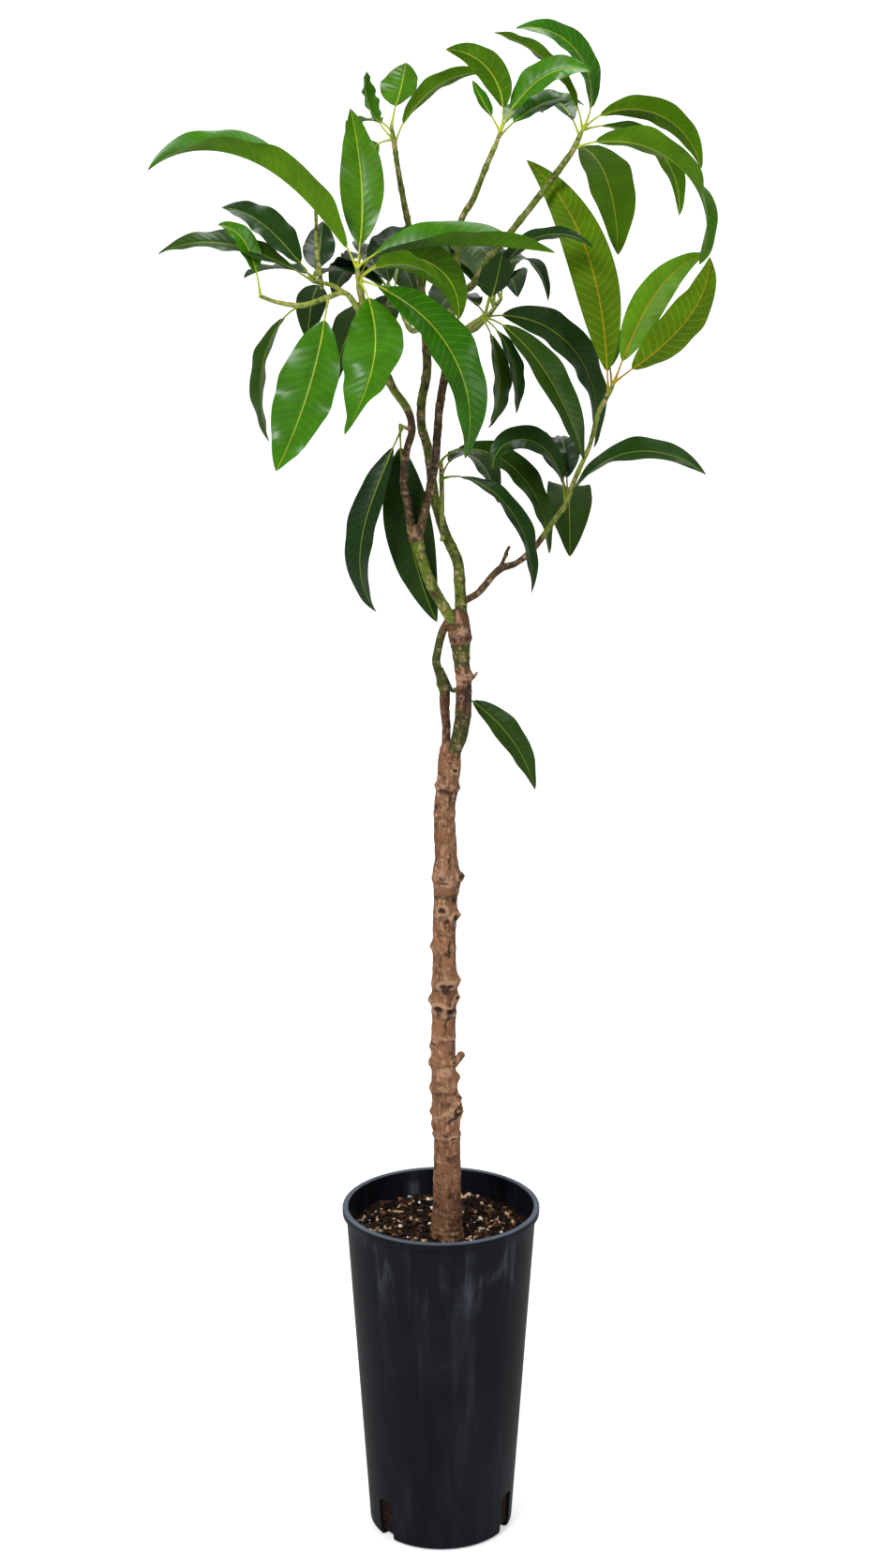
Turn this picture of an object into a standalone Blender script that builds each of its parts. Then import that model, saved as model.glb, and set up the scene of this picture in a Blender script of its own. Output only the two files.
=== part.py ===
"""Young mango tree in a tall round nursery pot, as separate named solids.

The pot stands on the ground at z = 0 with its axis on the origin. X runs to the right of the
plant as seen from its best side, Y runs away from there, and Z is up. Sizes are in millimetres
until a mesh is made, and headings are in degrees: 0 is +X, 90 is +Y and 180 is -X.

Every limb is a tapering tube on a smooth line. Every leaf is one closed blade on a short stalk,
and each whorl of leaves is fused to the shoot that carries it, which makes one mass of foliage.
"""

import math
import random

import bmesh
import bpy
from mathutils import Vector
from mathutils.bvhtree import BVHTree

MM = 0.001
GAP = 0.3

# Pot: a tall thin-walled nursery pot, 9 inches across its rolled rim.
POT_HEIGHT = 400.0
POT_RIM_RADIUS = 114.3
POT_TOP_RADIUS = 109.8
POT_BASE_RADIUS = 84.3
POT_WALL = 2.2
POT_LIP_HEIGHT = 9.0
POT_EDGE_ROUND = 6.0
POT_SIDES = 56
DRAIN_HEADINGS = (-139.0, -27.0, 97.0)
DRAIN_WIDTH = 22.0
DRAIN_HEIGHT = 50.0

# Potting mix: fills the pot to a little under its rim.
MIX_TOP = 370.0
MIX_SIDES = 40
MIX_LUMP = 3.0

# Leaves: thickness over length, fold of the two halves along the midrib, and stalk radius.
LEAF_THICKNESS = 0.012
LEAF_FOLD = 14.0
STALK_RADIUS = 1.5
STALK_LENGTH = 24.0
LEAF_STATIONS = (0.06, 0.2, 0.36, 0.52, 0.68, 0.82, 0.93, 1.0)
LEAF_STEPS = 48
LEAF_CLEARANCE = 1.0

BARK = (0.20, 0.115, 0.08, 1)
GREEN_BARK = (0.055, 0.085, 0.02, 1)
POT_BLACK = (0.012, 0.014, 0.018, 1)
MIX_BROWN = (0.045, 0.028, 0.018, 1)
FRESH_GREEN = (0.045, 0.21, 0.012, 1)
YOUNG_GREEN = (0.14, 0.28, 0.02, 1)
MATURE_GREEN = (0.014, 0.045, 0.016, 1)


def clear_scene():
    for old in list(bpy.data.objects):
        bpy.data.objects.remove(old, do_unlink=True)


def material(name, color, roughness):
    made = bpy.data.materials.new(name)
    made.use_nodes = True
    shader = made.node_tree.nodes["Principled BSDF"]
    shader.inputs["Base Color"].default_value = color
    shader.inputs["Roughness"].default_value = roughness
    made.diffuse_color = color
    return made


def add_object(name, mesh, surface):
    mesh.materials.append(surface)
    made = bpy.data.objects.new(name, mesh)
    bpy.context.scene.collection.objects.link(made)
    return made


def mesh_from(points, faces):
    """A closed mesh from points in millimetres, with its faces turned outward."""
    mesh = bpy.data.meshes.new("solid")
    mesh.from_pydata([Vector(p) * MM for p in points], [], faces)
    shape = bmesh.new()
    shape.from_mesh(mesh)
    bmesh.ops.recalc_face_normals(shape, faces=shape.faces)
    shape.to_mesh(mesh)
    shape.free()
    return mesh


def loft(rings):
    """One closed mesh through rings of equal, even count, with a flat cap at each end.

    Each stretch is cut into triangles along diagonals that mirror each other about every second
    point, so the two skins of a thin twisted blade bend alike and never cross.
    """
    count = len(rings[0])
    points = [p for ring in rings for p in ring]
    faces = [tuple(range(count))]
    for row in range(len(rings) - 1):
        low = row * count
        high = low + count
        for i in range(0, count, 2):
            j = i + 1
            k = (i + 2) % count
            faces.append((low + i, low + j, high + j))
            faces.append((low + i, high + j, high + i))
            faces.append((low + j, low + k, high + j))
            faces.append((low + k, high + k, high + j))
    faces.append(tuple(range(len(points) - count, len(points))))
    return mesh_from(points, faces)


def smooth_line(points, steps):
    """Points along a Catmull-Rom curve through the given ones, `steps` to each stretch."""
    knots = [Vector(p) for p in points]
    knots = [2 * knots[0] - knots[1]] + knots + [2 * knots[-1] - knots[-2]]
    line = []
    for a, b, c, d in zip(knots, knots[1:], knots[2:], knots[3:]):
        for i in range(steps):
            t = i / steps
            line.append(
                0.5 * (2 * b + (c - a) * t + (2 * a - 5 * b + 4 * c - d) * t**2
                       + (3 * b - a - 3 * c + d) * t**3)
            )
    line.append(knots[-2])
    return line


class Limb:
    """A tapering limb: its line, its radius along it, and where other pieces sit on it."""

    def __init__(self, waypoints, radii, sides=10, steps=3, cut=None, knobs=()):
        self.line = smooth_line(waypoints, steps)
        self.sides = sides
        self.knobs = knobs
        spans = [(b - a).length for a, b in zip(self.line, self.line[1:])]
        total = sum(spans)
        self.along = [sum(spans[:i]) / total for i in range(len(self.line))]
        self.radii = [self.radius_at(s, radii) for s in self.along]
        self.cut = cut

    @staticmethod
    def radius_at(share, radii):
        """The radius at a share of the length, from evenly spaced radii or (share, radius) pairs."""
        last = len(radii) - 1
        pairs = [r if isinstance(r, tuple) else (i / last, r) for i, r in enumerate(radii)]
        for (s0, r0), (s1, r1) in zip(pairs, pairs[1:]):
            if share <= s1:
                return r0 + (r1 - r0) * (share - s0) / (s1 - s0)
        return pairs[-1][1]

    def tangent(self, i):
        low = max(i - 1, 0)
        high = min(i + 1, len(self.line) - 1)
        return (self.line[high] - self.line[low]).normalized()

    def rings(self):
        made = []
        side = None
        for i, centre in enumerate(self.line):
            along = self.tangent(i)
            guess = side or Vector((1.0, 0.0, 0.0))
            side = (guess - along * guess.dot(along)).normalized()
            other = along.cross(side)
            ring = []
            for k in range(self.sides):
                turn = 2 * math.pi * k / self.sides
                out = side * math.cos(turn) + other * math.sin(turn)
                ring.append(centre + out * (self.radii[i] + self.swell(centre, out)))
            made.append(ring)
        if self.cut is not None:
            along = self.tangent(0)
            made[0] = [
                p + along * ((self.line[0] - p).dot(self.cut) / along.dot(self.cut))
                for p in made[0]
            ]
        return made

    def swell(self, centre, out):
        """How far the knobs of old leaf scars push the surface out at one point."""
        reach = 0.0
        for height, heading, size, rise in self.knobs:
            toward = Vector((math.cos(math.radians(heading)), math.sin(math.radians(heading)), 0))
            turn = math.acos(max(-1.0, min(1.0, out.dot(toward))))
            apart = math.hypot(centre.z - height, turn * self.radii[0])
            reach += rise * math.exp(-((apart / size) ** 2))
        return reach

    def mesh(self):
        return loft(self.rings())

    def top(self, offset=(0.0, 0.0)):
        """A seat on the flat end of the limb: (point, plane normal)."""
        along = self.tangent(len(self.line) - 1)
        point = self.line[-1] + along * GAP + Vector((offset[0], offset[1], 0.0))
        point -= along * (point - self.line[-1] - along * GAP).dot(along)
        return point, along

    def flank(self, share, heading):
        """A seat on the side of the limb, facing a heading: (point, plane normal)."""
        i = min(range(len(self.line)), key=lambda k: abs(self.along[k] - share))
        along = self.tangent(i)
        out = Vector((math.cos(math.radians(heading)), math.sin(math.radians(heading)), 0.0))
        out = (out - along * out.dot(along)).normalized()
        widest = max(self.radii[max(i - 2, 0):i + 3])
        return self.line[i] + out * (widest + GAP + 0.2), out


def limb_from(seat, waypoints, radii, **options):
    """A limb that starts on a seat of the limb that carries it."""
    start, normal = seat
    return Limb([start] + list(waypoints), radii, cut=normal, **options)


# --- Leaves ---------------------------------------------------------------------------------


def leaf_line(root, heading, rise, fall, late, sweep, length):
    """(point, tangent, side) at equal steps of a leaf that leaves at `rise` and bends down by `fall`."""
    spot = Vector(root)
    made = []
    for i in range(LEAF_STEPS + 1):
        s = i / LEAF_STEPS
        up = math.radians(rise - fall * s**late)
        turn = math.radians(heading + sweep * s)
        ahead = Vector((math.cos(turn) * math.cos(up), math.sin(turn) * math.cos(up), math.sin(up)))
        side = Vector((-math.sin(turn), math.cos(turn), 0.0))
        made.append((spot.copy(), ahead, side))
        spot += ahead * (length / LEAF_STEPS)
    return made


def half_width(s):
    """Outline of the blade: widest a little under its middle, with a drawn-out tip."""
    return math.sin(math.pi * s**0.86) ** 0.8 if 0 < s < 1 else 0.0


def leaf_mesh(root, heading, rise, fall, late, sweep, length, width, roll,
              fold=LEAF_FOLD, twist=0.0, grow=0.0):
    """A stalk and a folded blade as one closed mesh. `grow` fattens it, for testing clearance."""
    line = leaf_line(root, heading, rise, fall, late, sweep, length)
    stalk = min(STALK_LENGTH, 0.3 * length)
    blade = length - stalk
    thick = LEAF_THICKNESS * length / 2 + grow
    rings = []
    stations = [0.0, 0.5 * stalk / length, stalk / length]
    stations += [(stalk + blade * s) / length for s in LEAF_STATIONS]
    for station in stations:
        spot, ahead, side = line[round(station * LEAF_STEPS)]
        face = ahead.cross(side)
        turn = math.radians(roll + twist * station**2)
        side, face = (side * math.cos(turn) + face * math.sin(turn),
                      face * math.cos(turn) - side * math.sin(turn))
        share = (station * length - stalk) / blade
        half = max(width / 2 * half_width(share), STALK_RADIUS if share < 0.9 else 0.5) + grow
        lift = half * math.sin(math.radians(fold)) / 2 if share > 0 else 0.0
        half *= math.cos(math.radians(fold)) if share > 0 else 1.0
        depth = STALK_RADIUS + grow if share <= 0 else thick * (1.0 - 0.6 * max(share, 0.0)) + 0.3
        rings.append([
            spot + side * half + face * lift,
            spot + face * (depth - lift),
            spot - side * half + face * lift,
            spot - face * (depth + lift),
        ])
    return loft(rings)


def tree_of(mesh):
    return BVHTree.FromPolygons(
        [v.co.copy() for v in mesh.vertices], [tuple(p.vertices) for p in mesh.polygons]
    )


class Plant:
    """Keeps what is built so far, so that no new leaf touches it."""

    def __init__(self):
        self.taken = []

    def add_limb(self, name, limb, surface):
        mesh = limb.mesh()
        self.taken.append(tree_of(mesh))
        return add_object(name, mesh, surface)

    def is_clear(self, mesh):
        tree = tree_of(mesh)
        return not any(tree.overlap(other) for other in self.taken)

    def add_mass(self, name, stem, leaves, surface, twigs=()):
        """One node: a stem, its side twigs and its leaves, joined by one Boolean union.

        A leaf that would come within LEAF_CLEARANCE of another node is left off.
        """
        core = add_object(name, stem.mesh(), surface)
        group = bpy.data.collections.new(name + "_pieces")
        bpy.context.scene.collection.children.link(group)
        pieces = [twig.mesh() for twig in twigs]
        carriers = [stem] + list(twigs)
        for carrier, perch, *shape in leaves:
            limb = carriers[carrier]
            root = limb.line[round(perch * (len(limb.line) - 1))]
            if self.is_clear(leaf_mesh(root, *shape, grow=LEAF_CLEARANCE)):
                pieces.append(leaf_mesh(root, *shape))
        for i, mesh in enumerate(pieces):
            piece = bpy.data.objects.new(f"{name}_piece_{i}", mesh)
            group.objects.link(piece)
        union = core.modifiers.new("join", "BOOLEAN")
        union.operation = "UNION"
        union.operand_type = "COLLECTION"
        union.collection = group
        union.solver = "EXACT"
        graph = bpy.context.evaluated_depsgraph_get()
        joined = bpy.data.meshes.new_from_object(core.evaluated_get(graph))
        core.modifiers.clear()
        core.data = joined
        for piece in list(group.objects):
            bpy.data.objects.remove(piece, do_unlink=True)
        bpy.data.collections.remove(group)
        self.taken.append(tree_of(joined))
        return core


def spray(seed, count, carrier, headings, rises, falls, lengths, widths):
    """Leaves set round a shoot at the golden angle, for a side with no leaf placed by hand."""
    dice = random.Random(seed)
    low, high = headings
    made = []
    for i in range(count):
        share = (i * 0.618) % 1.0
        made.append((
            carrier, 1.0 - 0.3 * i / count,
            low + (high - low) * share + dice.uniform(-6, 6),
            dice.uniform(*rises), dice.uniform(*falls), 1.0, dice.uniform(-15, 15),
            dice.uniform(*lengths), dice.uniform(*widths), dice.uniform(-15, 15),
        ))
    return made


# --- Pot and mix ----------------------------------------------------------------------------


def turned(name, profile, sides, surface):
    """A closed solid turned about the Z axis from a closed (radius, height) outline."""
    mesh = bpy.data.meshes.new(name)
    shape = bmesh.new()
    outline = [shape.verts.new((r * MM, 0.0, z * MM)) for r, z in profile]
    edges = [shape.edges.new((a, b)) for a, b in zip(outline, outline[1:])]
    bmesh.ops.spin(
        shape, geom=outline + edges, cent=(0, 0, 0), axis=(0, 0, 1),
        angle=2 * math.pi, steps=sides, use_merge=True,
    )
    bmesh.ops.remove_doubles(shape, verts=shape.verts, dist=1e-6)
    bmesh.ops.recalc_face_normals(shape, faces=shape.faces)
    shape.to_mesh(mesh)
    shape.free()
    return add_object(name, mesh, surface)


def arc(centre, radius, start, end, steps):
    made = []
    for i in range(steps + 1):
        turn = math.radians(start + (end - start) * i / steps)
        made.append((centre[0] + radius * math.cos(turn), centre[1] + radius * math.sin(turn)))
    return made


def pot_profile():
    """Half section of the pot, from the middle of its underside round to the middle of its floor."""
    lip_round = (POT_RIM_RADIUS - POT_TOP_RADIUS) / 2
    lip_foot = POT_HEIGHT - POT_LIP_HEIGHT
    foot = arc((POT_BASE_RADIUS - POT_EDGE_ROUND, POT_EDGE_ROUND), POT_EDGE_ROUND, -90, 0, 4)
    lip = arc((POT_RIM_RADIUS - lip_round, POT_HEIGHT - lip_round), lip_round, 0, 90, 3)
    return (
        [(0.0, 0.0)] + foot
        + [(POT_TOP_RADIUS, lip_foot), (POT_RIM_RADIUS, lip_foot + 1.0)]
        + lip
        + [(POT_TOP_RADIUS - POT_WALL + 1.0, POT_HEIGHT), (POT_TOP_RADIUS - POT_WALL, POT_HEIGHT - 2.0)]
        + [(POT_BASE_RADIUS - POT_WALL, POT_EDGE_ROUND + 2.0), (POT_BASE_RADIUS - POT_EDGE_ROUND, POT_WALL)]
        + [(0.0, POT_WALL)]
    )


def drain_cutter(heading):
    """A round-topped block through the wall at the pot's foot, open at the bottom."""
    half = DRAIN_WIDTH / 2
    outline = [(-half, -5.0), (half, -5.0)]
    outline += arc((half - 5.0, DRAIN_HEIGHT - 5.0), 5.0, 0, 90, 3)
    outline += arc((5.0 - half, DRAIN_HEIGHT - 5.0), 5.0, 90, 180, 3)
    turn = math.radians(heading)
    out = Vector((math.cos(turn), math.sin(turn), 0.0))
    side = Vector((-math.sin(turn), math.cos(turn), 0.0))
    near, far = POT_BASE_RADIUS - 16.0, POT_BASE_RADIUS + 12.0
    rings = [[out * r + side * u + Vector((0, 0, v)) for u, v in outline] for r in (near, far)]
    cutter = add_object("drain_cutter", loft(rings), surfaces["pot"])
    cutter.hide_render = True
    cutter.display_type = "WIRE"
    return cutter


def build_pot():
    pot = turned("pot", pot_profile(), POT_SIDES, surfaces["pot"])
    for heading in DRAIN_HEADINGS:
        cut = pot.modifiers.new("drain", "BOOLEAN")
        cut.operation = "DIFFERENCE"
        cut.object = drain_cutter(heading)
        cut.solver = "EXACT"
    return pot


def build_mix():
    """The plug of potting mix. Its top is lumpy, but flat where the trunk stands."""
    dice = random.Random(3)
    slope = (POT_TOP_RADIUS - POT_BASE_RADIUS) / (POT_HEIGHT - POT_EDGE_ROUND)
    foot = POT_BASE_RADIUS - POT_EDGE_ROUND - POT_WALL
    wall_low = POT_BASE_RADIUS - POT_WALL - GAP - 0.7
    top_radius = wall_low + slope * (MIX_TOP - POT_EDGE_ROUND)
    outline = [(0.0, POT_WALL + GAP), (foot, POT_WALL + GAP), (wall_low, POT_EDGE_ROUND + 3.0)]
    outline += [(top_radius, MIX_TOP - 4.0)]
    outline += [(top_radius * share, MIX_TOP) for share in (0.94, 0.8, 0.65, 0.5, 0.35, 0.2)]
    outline += [(0.0, MIX_TOP)]
    mix = turned("potting_mix", outline, MIX_SIDES, surfaces["mix"])
    for vertex in mix.data.vertices:
        x, y, z = vertex.co / MM
        away = math.hypot(x - TRUNK_FOOT[0], y - TRUNK_FOOT[1])
        if z > MIX_TOP - 1.0 and away > TRUNK_FLARE + 20.0:
            vertex.co.z += dice.uniform(-1.0, 1.0) * MIX_LUMP * MM
    return mix


# --- Woody frame ----------------------------------------------------------------------------
# Places are (x, y, z) in millimetres from the middle of the pot's underside.

TRUNK_FOOT = (7.0, -20.0)
TRUNK_FLARE = 20.0
TRUNK_LINE = (
    (7, -20, MIX_TOP + GAP), (7, -20, 412), (7, -19, 476), (6, -18, 516), (3, -17, 573),
    (3, -16, 618), (4, -15, 673), (3.5, -13, 736), (6, -12, 798), (4, -10, 872),
    (7.5, -8, 908), (10.5, -3, 943),
)
# (share of the trunk's length, radius): a flare at the foot, then a slow taper with swellings.
TRUNK_RADII = (
    (0.0, TRUNK_FLARE), (0.02, 17.8), (0.09, 16.0), (0.2, 15.2), (0.27, 16.0), (0.33, 14.2),
    (0.44, 13.4), (0.52, 14.4), (0.6, 12.8), (0.7, 13.2), (0.75, 15.6), (0.79, 12.6),
    (0.88, 12.0), (0.95, 12.8), (1.0, 12.4),
)
# Old leaf scars and cut side shoots: (height, heading, size, how far it stands out).
TRUNK_KNOBS = (
    (524.5, -32, 9.0, 6.0), (523, 182, 6.0, 3.0), (551, 175, 6.0, 3.0), (566, 5, 5.0, 7.0),
    (572, 178, 6.0, 3.5), (590, 182, 5.0, 2.5), (640, -80, 8.0, 2.0), (652, 180, 6.0, 4.0),
    (660, -70, 7.0, 2.5), (675, 5, 6.0, 4.0), (716, 180, 5.0, 3.0), (755, 5, 5.0, 4.0),
    (795, -92, 9.0, 3.0), (800, 0, 6.0, 3.0), (608, 100, 8.0, 3.0), (700, 80, 8.0, 3.0),
    (840, 110, 7.0, 2.5),
)


def build_frame(plant):
    """The trunk, its two leaders and the boughs, each from the seat of the limb under it."""
    limbs = {}

    def add(name, limb, surface):
        limbs[name] = limb
        plant.add_limb(name, limb, surfaces[surface])

    add("trunk", Limb(TRUNK_LINE, TRUNK_RADII, sides=16, steps=4, knobs=TRUNK_KNOBS), "bark")
    add("right_leader", limb_from(
        limbs["trunk"].top((4.0, -6.0)),
        [(20, -9, 959), (24, -8, 981), (25, -6, 1002), (25, -4, 1024), (23, -2, 1043),
         (21.5, 0, 1062), (18.5, -1, 1092)],
        (8.2, 8.6, 8.8, 8.8, 8.6, 9.0, 12.0, 12.4), sides=12), "bark")
    add("left_leader", limb_from(
        limbs["trunk"].top((-5.5, 8.5)),
        [(6, 8, 967), (4, 9, 988), (4, 9, 1006), (0, 8, 1022), (-5, 6, 1040), (-3, 4, 1058),
         (-1, 6, 1073)],
        (4.4, 5.0, 5.0, 6.0, 5.0, 4.8, 4.6, 4.0), sides=10), "green_bark")
    crown = limbs["right_leader"]
    add("left_bough", limb_from(
        crown.top((-6.5, -5.5)),
        [(2, -10, 1108), (-12, -16, 1135), (-21, -20, 1162), (-27, -22, 1193)],
        (6.4, 6.2, 6.0, 5.9, 6.6)), "green_bark")
    add("inner_bough", limb_from(
        crown.top((4.0, 4.5)),
        [(21, 6, 1121), (18, 8, 1153), (6, 10, 1180), (-2, 12, 1204), (-8, 14, 1227),
         (-14, 16, 1274), (-21, 18, 1299), (-21, 18, 1326), (-15, 18, 1365), (-19, 16, 1430),
         (-26, 12, 1475), (-35, 8, 1517), (-43, 6, 1558), (-48, 4, 1590)],
        (7.0, 6.4, 6.0, 5.6, 5.4, 5.2, 5.0, 5.0, 4.9, 4.6, 4.2, 3.8, 3.4, 3.0, 2.8)), "green_bark")
    add("right_bough", limb_from(
        limbs["inner_bough"].flank(0.03, -20.0),
        [(42, -4, 1122), (63, -8, 1147), (81, -10, 1154), (100, -12, 1170), (115, -14, 1191),
         (129, -16, 1212)],
        (3.9, 3.7, 3.8, 3.4, 3.3, 3.2, 3.0)), "bark")
    fork = limbs["left_bough"]
    add("crown_bough", limb_from(
        fork.top((-5.2, -0.5)),
        [(-36, -24, 1221), (-40, -26, 1244), (-37, -30, 1278), (-31, -33, 1302),
         (-36, -38, 1325), (-54, -48, 1354), (-71, -60, 1402), (-81, -67, 1436)],
        (4.4, 4.2, 4.1, 4.1, 4.2, 4.4, 4.6, 4.5, 4.2)), "green_bark")
    add("centre_bough", limb_from(
        fork.top((5.2, 0.5)),
        [(-15, -22, 1224), (-11, -22.5, 1243), (-6, -22, 1268), (-2, -16, 1321), (4, -10, 1358),
         (10, -4, 1407), (16, 0, 1461), (20, 0, 1515), (34, -4, 1542), (48, -6, 1577)],
        (4.6, 4.5, 4.5, 4.5, 4.4, 4.2, 4.0, 3.8, 3.5, 3.4, 3.0)), "bark")
    add("top_right_bough", limb_from(
        limbs["centre_bough"].flank(0.63, 15.0),
        [(34, 11, 1452), (50, 14, 1477), (73, 14, 1505), (108, 12, 1549), (137, 10, 1588)],
        (3.8, 3.8, 3.7, 3.6, 3.5, 3.2)), "green_bark")
    return limbs


# --- Foliage --------------------------------------------------------------------------------
# A leaf is (carrier, perch, heading, rise, fall, late, sweep, length, width, roll), and some go
# on with (fold, twist). The carrier is 0 for the mass's stem and 1 upward for its twigs, and the
# perch is how far along it the stalk leaves. It sets out at `rise` above level and has bent down
# by `fall` at its tip, later along its length the larger `late` is. `sweep` turns it sideways,
# `roll` tips it over, `fold` is how far each half stands up from the midrib, and `twist` is how
# much further it has rolled by its tip.


def build_foliage(plant, limbs):
    def stem(seat, waypoints, radii, sides=6):
        return limb_from(seat, waypoints, radii, sides=sides, steps=2)

    left = limbs["crown_bough"]
    shoot = stem(left.top(), [(-84, -69, 1452), (-87, -70, 1474)], (3.8, 3.6, 2.2))
    plant.add_mass("left_crown_leaves", shoot, [
        (0, 0.9, 180, 65, 112, 1.7, 0, 282, 64, 22, 44, -70),
        (0, 1.0, 68, 70, 8, 1.0, 55, 176, 48, 0),
        (0, 0.7, 315, -45, 20, 1.0, -118, 184, 64, 0),
        (0, 0.8, -30, -12, 99, 1.3, 0, 250, 56, 25),
        (0, 0.9, -8, 56, 74, 0.45, 0, 216, 60, 28, 40, -58),
        (0, 0.7, -25, 40, 92, 1.2, 0, 108, 36, -35),
        (0, 0.8, 17, 47, 147, 1.1, 0, 158, 40, -70),
        (0, 0.9, 78, 38, 95, 1.0, 0, 170, 46, 0),
        (0, 0.8, 44, 62, 80, 1.0, 0, 130, 42, 0),
    ], surfaces["fresh"])

    shoot = stem(left.flank(0.96, 165.0), [(-99, -53, 1447), (-118, -46, 1443), (-146, -40, 1434),
                                           (-172, -38, 1437), (-190, -36, 1443)],
                 (3.2, 3.0, 2.8, 2.6, 2.4, 2.0))
    dark = Limb([(-99, -53, 1447), (-116, -38, 1455), (-134, -24, 1457)], (2.4, 2.4, 2.0), 6, 2)
    stub = Limb([(-126, -30, 1455), (-131, -12, 1487), (-132, -8, 1530)], (2.4, 2.2, 1.6), 6, 2)
    plant.add_mass("left_cluster_leaves", shoot, [
        (0, 1.0, 190, 82, 84, 2.6, 0, 94, 28, -55),
        (0, 0.4, 228, -76, -22, 1.0, 0, 194, 68, -25),
        (0, 0.55, 200, -12, 100, 0.6, 0, 162, 36, -10),
        (1, 1.0, 172, 54, 60, 2.6, 0, 130, 46, -35),
        (1, 1.0, 186, 33, 64, 1.8, 0, 175, 38, -30),
        (1, 0.9, 86, 27, -15, 1.0, 0, 104, 36, 0),
        (1, 0.8, 140, 30, 60, 1.0, 0, 120, 38, 0),
        (1, 0.7, 105, 0, 85, 1.0, 0, 110, 34, 10),
    ], surfaces["mature"], [dark, stub])

    shoot = stem(limbs["inner_bough"].top(), [(-50, 4, 1603), (-52, 3, 1617)], (2.6, 2.6, 1.6))
    plant.add_mass("top_left_leaves", shoot, [
        (0, 1.0, 62, 68, 10, 1.0, 0, 72, 46, 0),
        (0, 0.5, 165, 40, -55, 1.0, 0, 78, 34, -10),
        (0, 0.6, 205, -5, 55, 1.0, 0, 58, 32, -35),
        (0, 0.3, 8, 72, 81, 1.3, 0, 134, 30, -40),
        (0, 0.8, 125, 35, 70, 1.0, 0, 95, 30, 0),
    ], surfaces["fresh"])

    shoot = stem(limbs["centre_bough"].top(), [(57, -8, 1597), (62, -8, 1611)], (2.8, 2.8, 1.6))
    plant.add_mass("top_centre_leaves", shoot, [
        (0, 1.0, 150, 57, 0, 1.0, 0, 62, 16, -25),
        (0, 0.9, 196, 107, 112, 1.1, 0, 121, 34, 55),
        (0, 0.9, -12, 64, 90, 1.8, 0, 126, 40, 50),
        (0, 0.8, 25, 43, 77, 2.0, 0, 116, 36, 25),
        (0, 0.8, 60, 50, 80, 1.2, 0, 112, 34, 0),
    ], surfaces["fresh"])

    shoot = stem(limbs["top_right_bough"].top(), [(143, 10, 1599), (149, 10, 1612)], (3.0, 3.0, 1.8))
    plant.add_mass("top_right_leaves", shoot, [
        (0, 1.0, 185, 118, 133, 1.1, 0, 160, 38, -45),
        (0, 0.9, 168, 83, 74, 1.0, 0, 148, 32, 30),
        (0, 0.9, 5, 51, 130, 0.9, 0, 166, 36, -48),
        (0, 0.2, -8, 21, 140, 1.2, 0, 237, 52, -50, 20, 110),
        (0, 0.2, 62, 15, 108, 0.8, 0, 190, 56, -5),
        (0, 0.9, 25, 17, 115, 1.1, 0, 179, 32, -25),
        (0, 0.8, 112, 50, 90, 1.2, 0, 145, 36, 0),
    ], surfaces["fresh"])

    shoot = stem(limbs["centre_bough"].flank(0.53, -45.0), [(24, -23, 1407), (39, -28, 1417),
                                                            (47, -30, 1424)],
                 (3.4, 3.2, 3.0, 2.2))
    plant.add_mass("centre_leaves", shoot, [
        (0, 1.0, -70, 50, -10, 1.0, 0, 82, 38, 0),
        (0, 1.0, 55, 74, 160, 1.2, 0, 176, 28, 10),
        (0, 1.0, -8, 80, 124, 1.5, 0, 165, 25, 35),
        (0, 0.9, -17, 6, 82, 0.4, 0, 194, 46, 28),
        (0, 0.9, 30, 5, 113, 1.2, 0, 245, 46, 70),
        (0, 0.9, -60, -38, 111, 1.4, 0, 138, 34, -25),
        (0, 0.8, -40, -21, 83, 0.9, 0, 118, 28, -5),
    ], surfaces["mature"])

    shoot = stem(limbs["right_bough"].top(), [(134, -17, 1219), (139, -18, 1233)], (2.8, 3.0, 3.0), 8)
    right = limb_from(shoot.top(), [(147, -18, 1254), (160, -17, 1284), (168, -15, 1316),
                                    (177, -13, 1334)], (2.8, 2.6, 2.5, 2.5, 2.5))
    limbs["right_shoot"] = right
    plant.add_limb("right_shoot", right, surfaces["green_bark"])
    plant.add_mass("right_whorl_leaves", shoot, [
        (0, 0.25, -50, 58, 98, 1.3, 30, 209, 38, 35),
        (0, 0.5, 196, 86, 183, 1.8, 0, 150, 36, -45),
        (0, 0.5, 84, 58, 158, 0.7, 0, 168, 52, 5),
        (0, 0.75, 92, 70, 80, 1.0, 0, 120, 34, 0),
        (0, 0.75, 118, 70, 70, 1.0, 0, 120, 34, 0),
    ], surfaces["mature"])
    shoot = stem(right.top(), [(181, -12, 1341), (185, -12, 1350)], (2.5, 2.6, 1.6))
    plant.add_mass("young_leaves", shoot, [
        (0, 0.3, 146, 87, 54, 1.6, 0, 276, 50, 118),
        (0, 1.0, 10, 69, 56, 2.6, 0, 174, 38, 70),
        (0, 0.9, -12, 38, -55, 2.5, 0, 173, 46, -65),
        (0, 0.8, 96, 58, 60, 1.2, 0, 135, 36, 0),
    ], surfaces["young"])

    shoot = stem(limbs["inner_bough"].flank(0.175, 215.0), [(2, -3, 1184), (1, -4, 1206),
                                                            (1, -4, 1230), (0, -5, 1262)],
                 (2.4, 2.6, 2.6, 2.6, 2.2))
    plant.add_mass("inner_leaves", shoot, [
        (0, 0.9, -24, 26, 125, 0.7, 0, 188, 34, 10),
        (0, 1.0, 6, 95, 186, 0.4, 0, 199, 38, 45),
        (0, 0.9, 62, 70, 140, 0.6, 0, 175, 36, 0),
    ], surfaces["mature"])

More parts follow.
